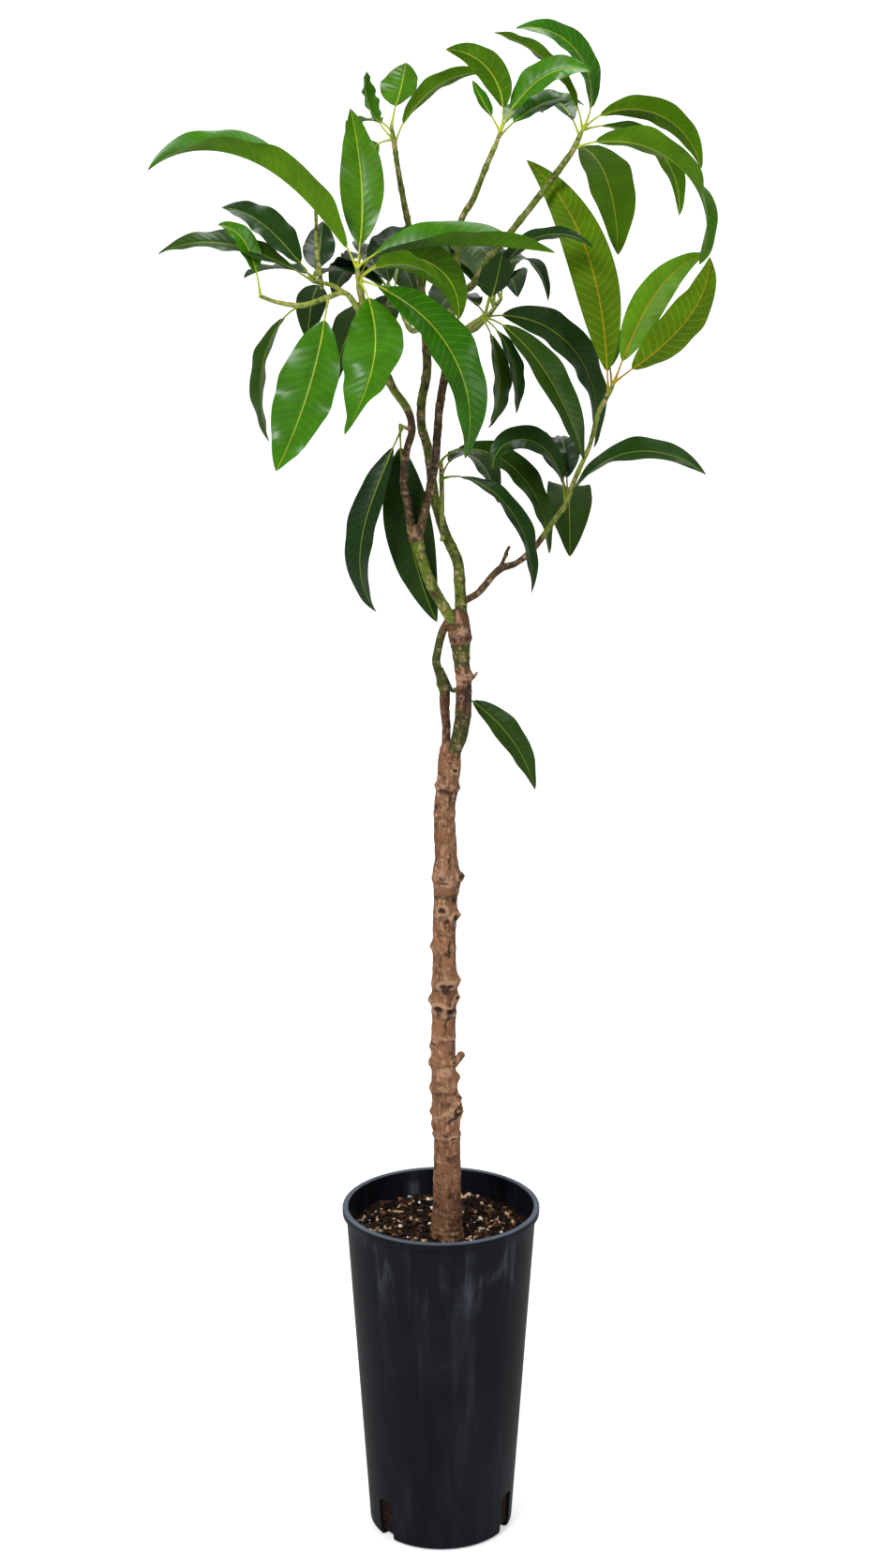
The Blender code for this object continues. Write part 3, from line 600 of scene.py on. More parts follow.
def grown_tube(limb, sides, pace, marks=(), rings=(), rough=0.35, sink=0.0, bands=()):
    """(points, faces, tints) of a limb as fine rings with the bark's relief pushed into them.

    `marks` are (height, heading, reach, rise) bumps, or pits where rise is negative, and may
    end in a tint; the dark tint of a pit is partly painted shade. `rings` are (height, reach, rise)
    collars, each with painted shade under it and a painted highlight on its top. `bands` are (low,
    high, tint) stretches. A tint is how (dark, pale, mossy) the bark is, and it also darkens the
    cracks and hollows of the relief with painted shade and lightens its rises with a painted
    highlight. `sink` carries the foot on into the limb below it.
    """
    ways = limb.waypoints
    if sink:
        ways = [ways[0] - sink * way_of(limb.line, 0)] + ways
    line = smooth_line(ways, max(3, int(limb.length / len(ways) / pace)))
    radii = np.interp((run_of(line) - sink) / limb.length, limb.pairs[:, 0], limb.pairs[:, 1])
    points, tints = [], []
    side = np.array((1.0, 0.0, 0.0))
    for i, centre in enumerate(line):
        ahead = way_of(line, i)
        side = unit(side - ahead * side.dot(ahead))
        other = np.cross(ahead, side)
        close = [(turned_to(m[1]), m) for m in marks if abs(centre[2] - m[0]) < 2.6 * m[2]]
        collar, shade, painted_collar_highlight = 0.0, 0.0, 0.0
        # Painted shade just under each collar and a painted highlight on its top, carried in the tint.
        for z, reach, rise in rings:
            collar += rise * bell(centre[2] - z, reach)
            shade += 0.5 * bell(centre[2] - z + 1.5 * reach, 0.6 * reach)
            painted_collar_highlight += 0.4 * bell(centre[2] - z - 0.3 * reach, 0.8 * reach)
        for k in range(sides):
            turn = 2 * math.pi * k / sides
            out = side * math.cos(turn) + other * math.sin(turn)
            radius = radii[i]
            spot = Vector(centre + out * radius)
            grain = noise.noise(Vector((spot.x, spot.y, spot.z * 0.3)) / 3.0)
            lump = noise.noise(spot / 11.0)
            wrinkle = noise.noise(Vector((spot.x * 0.4, spot.y * 0.4, spot.z + 0.5 * spot.x)) / 2.3)
            crack = max(0.0, 1.0 - abs(grain) / 0.1)
            radius += rough * (1.4 * lump + 0.5 * grain + 0.7 * wrinkle - 0.4 * crack)
            radius += collar * (1.0 + 0.5 * noise.noise(spot / 5.0))
            patchy = 0.6 + noise.noise(spot / 6.0)
            # The tint darkens cracks and low hollows of the relief with painted shade and lightens its rises
            # with a painted highlight.
            tint = [0.2 * crack + max(0.0, -wrinkle - 0.1) + shade * patchy + max(0.0, -lump - 0.15),
                    max(0.0, grain * 0.8 + wrinkle * 0.8) + painted_collar_highlight * patchy, 0.0]
            for toward, (z, _, reach, rise, *kind) in close:
                turn_off = math.acos(max(-1.0, min(1.0, float(out.dot(toward)))))
                share = bell(math.hypot(centre[2] - z, turn_off * radii[i]), reach)
                radius += rise * share * (1.0 + 0.35 * noise.noise(spot / 3.0))
                for c in range(3 if kind else 0):
                    tint[c] += kind[0][c] * share
            for low, high, kind in bands:
                at = centre[2] + 9.0 * noise.noise(spot / 8.0)
                share = max(0.0, min(1.0, (at - low) / 4.0, (high - at) / 4.0))
                for c in range(3):
                    tint[c] += kind[c] * share
            points.append(centre + out * radius)
            tints.append(tint)
    ahead = unit(line[-1] - line[-2])
    tip = np.array(points[-sides:])
    for lift, shrink in DOME:
        points += list(line[-1] + (tip - line[-1]) * shrink + ahead * lift * radii[-1])
        tints += tints[-sides:]
    start = len(points) - sides
    points.append(line[-1] + ahead * DOME_TOP * radii[-1])
    tints.append(tints[-1])
    faces = ring_faces(len(line) + len(DOME), sides)
    faces += [(start + k, start + (k + 1) % sides, start + sides) for k in range(sides)]
    return points, faces, tints


def wood_piece(name, tubes, surface, slot, *nodes):
    """One mesh of tubes, which stands for its CAD nodes."""
    made = joined(name, tubes)
    made.shade_smooth()
    made.materials.append(surface.material)
    tints = np.clip(np.concatenate([shades for _, _, shades in tubes]), 0, 1)
    colors = np.insert(tints, 3, 1.0, axis=1).astype(np.float32)
    made.attributes.new("tint", "FLOAT_COLOR", "POINT").data.foreach_set("color", colors.ravel())
    dress(new_object(name, made), slot, *nodes)


def wood_surface(name, plain, moss, rough, depth=0.0009):
    """Bark in its plain colour, darker, paler or mossy where the mesh's tint says so."""
    made = Surface(name, plain[:3], rough, 0.12)
    blotch = made.noise(38.0, 5.0, 0.6, (1.0, 1.0, 0.5), 0.4)
    fine = made.noise(330.0, 4.0, 0.65, (1.0, 1.0, 0.22))
    specks = made.noise(520.0, 2.0, 0.5)
    tint = made.node("ShaderNodeAttribute", {"attribute_name": "tint"}, output="Color")
    dark, pale, mossy = (made.node("ShaderNodeSeparateColor", inputs={0: tint}, output=c)
                         for c in ("Red", "Green", "Blue"))
    base = made.mix(blotch.between(0.4, 0.7), dimmed(plain, 1.15), dimmed(plain, 0.6))
    base = made.mix((mossy + fine * 0.6 - 0.3).between(0.1, 0.7), base, moss)
    base = made.mix((pale + fine * 0.5 - 0.25).between(0.0, 0.9) * 0.6, base, (0.40, 0.24, 0.15, 1))
    base = made.mix((dark + specks * 0.5 - 0.25).between(0.05, 0.95) * 0.92, base,
                    (0.022, 0.012, 0.008, 1))
    made.set("Base Color", base)
    made.set("Roughness", blotch * 0.2 + (rough - 0.1))
    made.relief(fine * 0.8 + specks * 0.4 + blotch * 0.3, depth, 0.8)
    return made


def eye(z, heading, size, radius=14.0):
    """Scar of a lost leaf: a dark hollow, partly painted shade, between raised pale lids, and a painted
    shadow under it.
    """
    lids = [(z + 0.75 * size * math.sin(a), heading + math.degrees(1.1 * size * math.cos(a) / radius),
             0.4 * size, 0.26 * size, PALE) for a in np.linspace(0.0, 2 * math.pi, 12)[:-1]]
    # Painted shadow under the scar: a dark tint on a faint dip.
    under = [(z - 1.15 * size, heading, 0.5 * size, -0.06 * size, (0.45, 0, 0))]
    return lids + under + [(z, heading + turn, 0.4 * size, -0.3 * size, DARK) for turn in (-9.0, 0.0, 9.0)]


def crease(low, high, heading, slant, depth):
    """A groove up the trunk, darkened with painted shade."""
    steps = np.linspace(0.0, 1.0, max(3, int((high - low) / 2.0)))
    return [(low + (high - low) * t, heading + slant * t + 4.0 * math.sin(9.0 * t), 1.4, -depth,
             (0.7, 0.0, 0.0)) for t in steps]


bark = wood_surface("old_bark", rgb(111, 78, 55), rgb(70, 76, 34), 0.85)
leader_bark = wood_surface("leader_bark", rgb(80, 54, 36), rgb(50, 60, 18), 0.75)
bough_bark = wood_surface("green_bark", rgb(66, 54, 28), rgb(74, 92, 20), 0.55, 0.0006)
shoot_bark = wood_surface("shoot_bark", rgb(96, 112, 34), rgb(96, 112, 34), 0.5, 0.0004)

# The trunk's bumps are (height, heading, reach, how far it stands out).
marks = [
    (523, 182, 6, 3), (551, 178, 6, 3), (562, 5, 5, 5), (581, 180, 6, 3.2), (507, 180, 5, 2.5),
    (601, 182, 5, 2.5), (640, -80, 8, 2), (656, 182, 6, 3.6), (660, -70, 7, 2.5), (679, 2, 6, 3.6),
    (660, 4, 5, 2.4), (719, 182, 5, 3), (757, 4, 5, 3.6), (797, -92, 9, 3), (800, -6, 5, 3.4),
    (608, 100, 8, 3), (700, 80, 8, 3), (840, 110, 7, 2.5), (903, 178, 4, 1.4), (903, 2, 4, 1.4),
    (524.5, -32, 8, 3.4), (538, -8, 4, 3, DARK),
]
# The big scar at 525 mm: pale raised rims round dark pits, whose dark is partly painted shade.
marks += [(516 + 22 * t, -140 + 130 * t, 3, 1.7, (0, 0.5, 0)) for t in np.linspace(0, 1, 10)]
marks += [(512 + 9 * t, -84 + 42 * t, 2.4, -1.2, (0.7, 0, 0)) for t in np.linspace(0, 1, 6)]
marks += [(525 + 8.5 * math.sin(a), -38 + 33 * math.cos(a), 2.6, 2.1, (0, 0.7, 0))
          for a in np.linspace(-0.6, 5.2, 18)]
marks += [(525 + 4.2 * math.sin(a), -38 + 17 * math.cos(a), 1.8, -1.3, (0.8, 0, 0))
          for a in np.linspace(-2.4, 3, 10)]
marks += [(525, -38, 2, 1.2, (0, 0.6, 0)), (524, -27, 1.6, -1.4, DARK)]
for scar in ((648, -116, 6.4), (645, -62, 6), (675, -98, 4.6), (675, -64, 4.4), (763, -104, 5.4),
             (755, -30, 5.6), (801, -20, 5), (922, -56, 4), (493, -62, 3.6), (796, -96, 2.8), (583, -34, 3.4),
             (660, -24, 3.6), (605, -140, 3), (553, -104, 2.6)):
    marks += eye(*scar)
for groove in ((708, 728, -66, 6, 0.7), (620, 640, -84, 8, 0.5), (742, 752, -86, 8, 0.5),
               (812, 828, -76, 6, 0.5), (880, 896, -72, 6, 0.5), (700, 708, -112, 5, 0.5)):
    marks += crease(*groove)
# Small dark pits, whose dark is partly painted shade, and faint pale patches.
marks += [(914, -107, 3.2, -0.2, DARK), (899, -124, 2.4, -0.9, DARK), (930, -84, 2.2, -0.4, DARK),
          (573, -70, 6, 0.2, (0, 0.7, 0)), (572, -110, 5, 0.2, (0, 0.6, 0)), (684, -84, 5, 0.3, (0, 0.7, 0)),
          (640, -86, 4, 0.4, (0, 0.8, 0)), (806, -110, 6, 0.3, (0, 0.4, 0))]
rings = ((494.8, 3, 1.3), (499, 1.6, -0.5), (655, 5, 1.2), (641, 3, 0.8), (676, 5.5, 1.2),
         (797, 12, 0.8), (553, 4, 0.6), (903, 3.4, 0.9), (872, 3, 0.5), (612, 3.5, 0.6),
         (719, 4, 0.6), (757, 4, 0.6), (585, 4, 0.5), (378, 1.6, 0.5), (384, 1.6, 0.4))
bands = ((330, 378, (0.3, 0, 0)), (380, 486, (0.12, 0, 0)), (806, 830, (0, 0.15, 0)),
         (885, 925, (0.1, 0.1, 0)))
tubes = [grown_tube(trunk, 96, 1.15, marks, rings, 0.62, 14, bands)]
# A cut side shoot, with a dark pit whose dark is partly painted shade.
stub = Limb([(16, -18, 581), (20, -19, 586), (23, -19.5, 591)], (5, 4.4, 4.2), 6)
tubes.append(grown_tube(stub, 20, 0.8, ((589, -60, 2.4, -0.8, DARK),), rough=0.7, sink=3))
wood_piece("trunk_bark", tubes, bark, "bark", "trunk")

rings = ((1077, 6, 0.8), (1066, 3, 0.8), (1026, 3, 0.9), (985, 3, 0.7), (1048, 3, 0.6))
# Bumps, some pale, and dark pits whose dark is partly painted shade.
marks = [(1078, -60, 4, 2, PALE), (1074, -110, 4, 1.8, PALE), (1070, -20, 4, 2), (1083, -150, 4, 1.8),
         (1027, 0, 4, 2.6), (1060, 150, 4, 1.6), (990, -100, 4, 1.2), (1010, -40, 3, 1.2),
         (1070, -118, 2.4, -1.2, DARK), (1070, -50, 2.4, -1.2, DARK), (1083, -90, 3.4, -0.6, (0, 0, 0.8))]
marks += eye(1027, -60, 3, 9) + eye(1004, -110, 2.8, 9) + crease(990, 1018, -80, 20, 0.5)
bands = ((1036, 1064, MOSS), (1020, 1033, (0, 0.5, 0)), (993, 1017, (0.45, 0, 0)), (940, 991, (0.25, 0, 0.8)))
tubes = [grown_tube(right_leader, 48, 1.2, marks, rings, 0.5, 24, bands)]
thorn = Limb([(31, -5, 1023), (36, -6, 1027), (40, -6, 1032)], (2.6, 1.8, 1), 5)
tubes.append(grown_tube(thorn, 16, 0.7, rough=0.3, sink=3))
marks = [(1010, -60, 5, 1.6), (1018, 150, 5, 1.6), (985, -90, 3, 0.9), (1000, -150, 3, 1)]
marks += eye(968, -100, 2.6, 5)
bands = ((1003, 1078, (0.1, 0, 0.8)), (950, 1000, (0.2, 0, 0.2)))
rings = ((1012, 5, 0.9), (984, 2.5, 0.5))
tubes.append(grown_tube(left_leader, 32, 1.2, marks, rings, 0.35, 18, bands))
wood_piece("leader_bark", tubes, leader_bark, "bark", "right_leader", "left_leader")


def bough_rings(limb, every, rise, seed):
    """Swollen nodes where leaves once stood, at uneven steps up the limb."""
    dice = random.Random(seed)
    heights = np.arange(limb.line[:, 2].min() + every / 2, limb.line[:, 2].max(), every)
    return tuple((z + dice.uniform(-0.25, 0.25) * every, 2.0, rise * dice.uniform(0.5, 1.2)) for z in heights)


def bough_marks(limb, every, rise, seed):
    dice = random.Random(seed)
    heights = np.arange(limb.line[:, 2].min() + every / 3, limb.line[:, 2].max(), every)
    return [(z + dice.uniform(-0.3, 0.3) * every, dice.uniform(0, 360), 2.4, rise * dice.uniform(0.5, 1.2),
             dice.choice((DARK, PALE, (0, 0, 0)))) for z in heights]


tubes = []
for i, (limb, sink, own_marks, *bands) in enumerate((
    (left_bough, 16, [(1190, -80, 4, 1.8, PALE), (1196, -30, 3, 1.6), (1184, -120, 3, 1.2, DARK)],
     (1090, 1185, (0.1, 0, 0.8)), (1185, 1200, (0.2, 0.3, 0.2))),
    (inner_bough, 16, [],
     (1090, 1250, (0.15, 0, 0.7)), (1250, 1420, (0.25, 0, 0.5)), (1420, 1600, (0.1, 0, 0.9))),
    (crown_bough, 12, [], (1196, 1320, (0.45, 0, 0)), (1320, 1440, (0.1, 0, 0.7))),
    (top_right_bough, 5, [], (1430, 1600, MOSS)),
    # The right bough's dark pit is partly painted shade.
    (right_bough, 6, [(1148, -60, 4, 1.8), (1148, 60, 4, 1.6), (1152, -90, 2, -0.6, DARK)],
     (1090, 1180, (0.15, 0, 0)), (1180, 1216, (0, 0, 0.6))),
    (centre_bough, 12, [], (1196, 1380, (0.3, 0, 0)), (1400, 1580, (0, 0, 0.95))),
)):
    marks = bough_marks(limb, 15, 0.9, 50 + i) + own_marks
    tubes.append(grown_tube(limb, 32, 1.5, marks, bough_rings(limb, 30, 0.5, 40 + i), 0.28, sink, bands))
twig = Limb([(64, -9, 1149), (69, -9, 1160), (71, -9, 1166), (74, -9, 1172)], (2.6, 1.9, 1.8, 1.6), 4)
tubes.append(grown_tube(twig, 16, 0.8, ((1164, 0, 2, 1.2),), (), 0.3, 2))
wood_piece("boughs", tubes, bough_bark, "green_bark",
           "left_bough", "inner_bough", "crown_bough", "top_right_bough", "right_bough", "centre_bough")

# --- Leaves ---------------------------------------------------------------------------------
# Each leaf is a thin leathery blade with a fold along its midrib, wavy margins, a raised pale
# rib and a comb of side veins, on a short stalk. Whorls of them end every shoot. Fresh leaves
# are bright and glossy, the youngest light and soft, and the old ones dark green.

STALK_LENGTH = 24.0
LEAF_FOLD = 14.0
LEAF_STEPS = 160
BLADE_THICK = 0.7
RIB_HALF = 0.75
RIB_DROP = 0.9
RIB_GROOVE = 0.35
VEIN_SPACING = 9.0
VEIN_HALF = 0.035
VEIN_LEAN = 0.34
PILLOW = 0.42
WAVE_HEIGHT = (0.02, 0.045)
ACROSS = (0.0, 0.12, 0.28, 0.46, 0.64, 0.8, 0.92, 1.0)


def half_width(s):
    """Outline of the blade: widest a little under its middle, with a drawn-out tip."""
    s = np.clip(s, 0.0, 1.0)
    return np.sin(np.pi * s**0.86) ** 0.8 * (s < 1) * (s > 0)


def leaf_line(root, heading, rise, fall, late, sweep, length):
    """Middle line of a leaf: (points, directions ahead, directions across)."""
    s = np.arange(LEAF_STEPS + 1) / LEAF_STEPS
    up = np.radians(rise - fall * s**late)
    turn = np.radians(heading + sweep * s)
    ahead = np.stack([np.cos(turn) * np.cos(up), np.sin(turn) * np.cos(up), np.sin(up)], 1)
    across = np.stack([-np.sin(turn), np.cos(turn), 0 * turn], 1)
    spots = np.array(root) + np.concatenate([[[0, 0, 0]], np.cumsum(ahead[:-1] * length / LEAF_STEPS, 0)])
    return spots, ahead, across


class LeafPile:
    """Gathers leaves into one mesh, each with its own plain colours."""

    def __init__(self, seed):
        self.points = []
        self.faces = []
        self.numbers = []
        self.surfaces = []
        self.dice = random.Random(seed)
        self.count = 0

    def number(self, surface):
        if surface not in self.surfaces:
            self.surfaces.append(surface)
        return self.surfaces.index(surface)

    def add(self, points, faces, numbers):
        self.points.append(points)
        self.faces.append(np.array(faces) + self.count)
        self.numbers.append(np.array(numbers))
        self.count += len(points)

    def leaf(self, root, kind, heading, rise, fall, late, sweep, length, width, roll,
             fold=LEAF_FOLD, twist=0.0):
        """One leaf on its stalk. `kind` names its colours, and `twist` adds to its roll by its tip."""
        dice = self.dice
        upper, lower, rib, vein = (self.number(s) for s in leaf_colors(kind, dice))
        spots, ahead, across = leaf_line(root, heading, rise, fall, late, sweep, length)
        face = np.cross(ahead, across)
        turn = np.radians(roll + twist * np.linspace(0.0, 1.0, len(spots)) ** 2)[:, None]
        side = across * np.cos(turn) + face * np.sin(turn)
        face = face * np.cos(turn) - across * np.sin(turn)
        stalk = min(STALK_LENGTH, 0.3 * length)
        start = stalk / length

        def at(b, array):
            """The values of an array along the leaf, at places along its blade."""
            where = np.clip(start + (1 - start) * b, 0, 1) * LEAF_STEPS
            low = np.minimum(where.astype(int), LEAF_STEPS - 1)
            part = (where - low)[..., None]
            return array[low] * (1 - part) + array[low + 1] * part

        # v runs up the blade with a narrow row at each pair of veins, and u from the rib outward.
        # b is the place along the blade of a row that leans with its veins.
        pairs = max(10, round((length - stalk) / VEIN_SPACING))
        rows = [0.0, 0.3 / pairs]
        for k in range(1, pairs):
            rows += [(k - VEIN_HALF) / pairs, (k + VEIN_HALF) / pairs, (k + 0.35) / pairs, (k + 0.65) / pairs]
        rows += [1.0 - 0.2 / pairs, 1.0]
        v = np.array(rows)[:, None]
        columns = np.array([-u for u in ACROSS[:0:-1]] + [-0.001, 0.001] + list(ACROSS[1:]))[None, :]
        u = abs(columns)
        left = columns < 0
        lean = VEIN_LEAN * u**1.35 * v * (1 - v)
        b = np.clip(v + lean + left * (2.0 / pairs) * np.clip(u * 2.5, 0, 1) * v * (1 - v), 0, 1)
        half = width / 2 * half_width(b)
        ribs = np.minimum(RIB_HALF * (1.15 - 0.8 * b), 0.5 * half + 0.15)
        reach = np.maximum(ribs + (np.maximum(half, 0.2) - ribs) * (u - 0.001) / 0.999, 0.2)
        # The two halves rise from the rib, wave at their margins and swell between their veins.
        raised = math.sin(math.radians(fold)) * half
        lift = raised * (u * 1.35 - 0.35 * u**2) - raised * 0.5
        wave_left, wave_right = dice.uniform(0, 6.3), dice.uniform(0, 6.3)
        waves = dice.uniform(2.6, 4.4)
        phase = np.where(left, wave_left, wave_right)
        curl = np.sin(2 * np.pi * waves * b + phase) + 0.3 * np.sin(2 * np.pi * waves * 1.7 * b + 2 * phase)
        lift = lift + dice.uniform(*WAVE_HEIGHT) * width * curl * u**2.2 * np.sin(np.pi * b) ** 0.5
        comb = np.abs(np.sin(np.pi * pairs * v)) ** 0.7
        pillow = PILLOW * (comb - 0.5) * np.clip(u * 6, 0, 1) * (1 - u**3) * np.clip(half / 12.0, 0, 1)
        groove = -RIB_GROOVE * (u < 0.01)
        reach = reach * math.cos(math.radians(fold))
        flat = at(b, spots) + at(b, side) * (np.sign(columns) * reach)[..., None]
        thick = BLADE_THICK / 2 * (1 - 0.6 * u)
        under_rib = RIB_DROP * (u < 0.01) * (1.1 - b)
        top = flat + at(b, face) * (lift + pillow + groove + thick)[..., None]
        bottom = flat + at(b, face) * (lift + pillow * 0.8 - thick - under_rib)[..., None]
        # An upper and a lower sheet, with the colours of rib and veins, and the rim between them.
        count_v, count_u = top.shape[:2]
        points = np.concatenate([top.reshape(-1, 3), bottom.reshape(-1, 3)])
        index = np.arange(count_v * count_u).reshape(count_v, count_u)
        a, c = index[:-1, :-1], index[1:, 1:]
        quad = np.stack([a, index[:-1, 1:], c, index[1:, :-1]], -1)
        middle = count_u // 2 - 1
        numbers = []
        for sheet in (np.full(quad.shape[:2], upper), np.full(quad.shape[:2], lower)):
            sheet[2:count_v - 3:4, 1:-1] = vein
            sheet[:, middle] = rib
            numbers.append(sheet.ravel())
        shift = count_v * count_u
        rim_low = np.concatenate([index[:, 0], index[-1, 1:], index[-2::-1, -1], index[0, -2:0:-1]])
        rim = np.stack([rim_low, np.roll(rim_low, -1), np.roll(rim_low, -1) + shift, rim_low + shift], -1)
        faces = np.concatenate([quad.reshape(-1, 4)[:, ::-1], quad.reshape(-1, 4) + shift, rim[:, ::-1]])
        self.add(points, faces, np.concatenate(numbers + [np.full(len(rim), vein)]))
        self.stalk(spots, side, face, start, rib)

    def stalk(self, spots, side, face, start, rib, sides=8):
        """The stalk, swollen where it leaves the shoot and running out along the rib."""
        last = int((start + 0.05) * LEAF_STEPS) + 1
        rings = []
        for i in np.linspace(0, last, 14).round().astype(int):
            share = i / last
            radius = 1.25 + 0.7 * bell(share, 0.22) - 0.45 * share
            turn = np.linspace(0, 2 * np.pi, sides, endpoint=False)
            sink = -0.6 * max(0.0, (share - 0.75) / 0.25)
            rings.append(spots[i] + side[i] * (radius * np.cos(turn))[:, None]
                         + face[i] * (radius * np.sin(turn) + sink)[:, None])
        faces = ring_faces(len(rings), sides)
        self.add(np.concatenate(rings), faces, [rib] * len(faces))

    def piece(self, name, slot, node):
        """The one mesh of all the leaves gathered so far, in the place of its CAD node."""
        made = new_mesh(name, np.concatenate(self.points) * MM, np.concatenate(self.faces))
        made.polygons.foreach_set("material_index", np.concatenate(self.numbers).astype(np.int32))
        made.validate()
        for surface in self.surfaces:
            made.materials.append(surface.material)
        made.shade_smooth()
        made.set_sharp_from_angle(angle=math.radians(55))
        dress(new_object(name, made), slot, node)


def skin(name, color, roughness, shine, coat=0.0):
    """Leaf skin: a plain colour, with faint clouding in its shine."""
    made = Surface(name, color[:3], roughness, shine)
    cloud = made.noise(45.0, 3.0, 0.55)
    made.set("Base Color", made.mix(cloud.between(0.3, 0.75), dimmed(color, 0.86), dimmed(color, 1.14)))
    made.set("Roughness", cloud * 0.14 + (roughness - 0.07))
    made.relief(made.noise(600.0, 2.0), 0.0003, 0.25)
    if coat:
        made.set("Coat Weight", coat)
        made.shader.inputs["Coat Roughness"].default_value = 0.28
    return made


def skins(name, shades, *finish):
    """Skins that differ a little in colour, to be dealt out leaf by leaf."""
    return [skin(f"{name}_{i}", rgb(*shade), *finish) for i, shade in enumerate(shades)]


# Upper skins, lower skins, rib and side veins of each kind of leaf.
LEAF_SKINS = {
    "fresh": (skins("fresh_top", ((40, 86, 2), (46, 92, 2), (35, 79, 2), (52, 91, 2)), 0.3, 0.1, 0.13),
              skins("fresh_under", ((55, 88, 3), (62, 95, 4)), 0.55, 0.06),
              skin("fresh_rib", rgb(140, 150, 40), 0.45, 0.1),
              skin("fresh_vein", rgb(56, 112, 14), 0.4, 0.1)),
    "young": (skins("young_top", ((72, 112, 8), (64, 102, 6)), 0.45, 0.08),
              skins("young_under", ((72, 100, 2), (64, 92, 2)), 0.55, 0.05),
              skin("young_rib", rgb(136, 112, 14), 0.5, 0.08),
              skin("young_vein", rgb(94, 124, 18), 0.5, 0.08)),
    "mature": (skins("mature_top", ((20, 44, 10), (25, 50, 11), (16, 38, 10), (33, 57, 7)), 0.33, 0.1, 0.04),
               skins("mature_under", ((24, 46, 8), (32, 54, 6)), 0.5, 0.06),
               skin("mature_rib", rgb(100, 114, 34), 0.5, 0.08),
               skin("mature_vein", rgb(27, 55, 20), 0.4, 0.1)),
}


def leaf_colors(kind, dice):
    """(upper skin, lower skin, rib, side veins) of one leaf, with a draw for every kind."""
    drawn = {each: (dice.choice(tops), dice.choice(unders), rib, vein)
             for each, (tops, unders, rib, vein) in LEAF_SKINS.items()}
    return drawn[kind]


def spray(seed, count, headings, rises, falls, lengths, widths):
    """Leaves set round a shoot at the golden angle, for a side with no leaf listed one by one."""
    dice = random.Random(seed)
    low, high = headings
    made = []
    for i in range(count):
        share = (i * 0.618) % 1.0
        made.append((
            1.0 - 0.3 * i / count,
            low + (high - low) * share + dice.uniform(-6, 6),
            dice.uniform(*rises), dice.uniform(*falls), 1.0, dice.uniform(-15, 15),
            dice.uniform(*lengths), dice.uniform(*widths), dice.uniform(-15, 15),
        ))
    return made


FIRST_SEED = 101
shoot_tubes = []
piles = []


def whorl(name, slot, *groups):
    """One mass of foliage: its shoots go with the others, and its leaves make one piece.

    A group is a kind of leaf, the shoot that carries it and rows of place on the shoot, heading,
    rise, fall, how late it falls, sweep, length, width and roll, then fold and twist where they
    aren't the usual ones.
    """
    seed = FIRST_SEED + len(piles)
    pile = LeafPile(seed)
    piles.append(pile)
    grown = []
    for kind, shoot, rows in groups:
        if shoot not in grown:
            grown.append(shoot)
            rings = bough_rings(shoot, 7.0, 0.35, seed)
            shoot_tubes.append(grown_tube(shoot, 20, 1.0, (), rings, 0.18, 4.0))
        for place, *shape in rows:
            pile.leaf(shoot.line[round(place * (len(shoot.line) - 1))], kind, *shape)
    pile.piece(name + "_blades", slot, name)


def stem(seat, waypoints, radii):
    return limb_from(seat, waypoints, radii, 2)


shoot = stem(crown_bough.top(), [(-84, -69, 1452), (-87, -70, 1474)], (3.8, 3.6, 2.2))
whorl("left_crown_leaves", "fresh_leaf", ("fresh", shoot, [
    (0.9, 180, 65, 112, 1.7, 0, 282, 64, 22, 44, -70),
    (1, 68, 70, 8, 1, 55, 176, 48, 0),
    (0.7, 315, -45, 20, 1, -118, 184, 64, 0),
    (0.8, -30, -12, 99, 1.3, 0, 250, 56, 25),
    (0.9, -8, 56, 74, 0.45, 0, 216, 60, 28, 40, -58),
    (0.7, -25, 40, 92, 1.2, 0, 108, 36, -35),
    (0.8, 17, 47, 147, 1.1, 0, 158, 40, -70),
]), ("mature", shoot, [
    (0.9, 78, 38, 95, 1, 0, 170, 46, 0),
    (0.8, 44, 62, 80, 1, 0, 130, 42, 0),
]))

shoot = stem(crown_bough.flank(0.96, 165),
             [(-99, -53, 1447), (-118, -46, 1443), (-146, -40, 1434), (-172, -38, 1437), (-190, -36, 1443)],
             (3.2, 3, 2.8, 2.6, 2.4, 2))
dark = Limb([(-99, -53, 1447), (-116, -38, 1455), (-134, -24, 1457)], (2.4, 2.4, 2), 2)
stub = Limb([(-126, -30, 1455), (-131, -12, 1487), (-132, -8, 1530)], (2.4, 2.2, 1.6), 2)
whorl("left_cluster_leaves", "mature_leaf", ("fresh", shoot, [
    (1, 190, 82, 84, 2.6, 0, 94, 28, -55),
    (0.4, 228, -76, -22, 1, 0, 194, 68, -25),
]), ("mature", shoot, [
    (0.55, 200, -12, 100, 0.6, 0, 162, 36, -10),
]), ("mature", dark, [
    (1, 172, 54, 60, 2.6, 0, 130, 46, -35),
    (1, 186, 33, 64, 1.8, 0, 175, 38, -30),
    (0.9, 86, 27, -15, 1, 0, 104, 36, 0),
    (0.8, 140, 30, 60, 1, 0, 120, 38, 0),
    (0.7, 105, 0, 85, 1, 0, 110, 34, 10),
]), ("mature", stub, []))

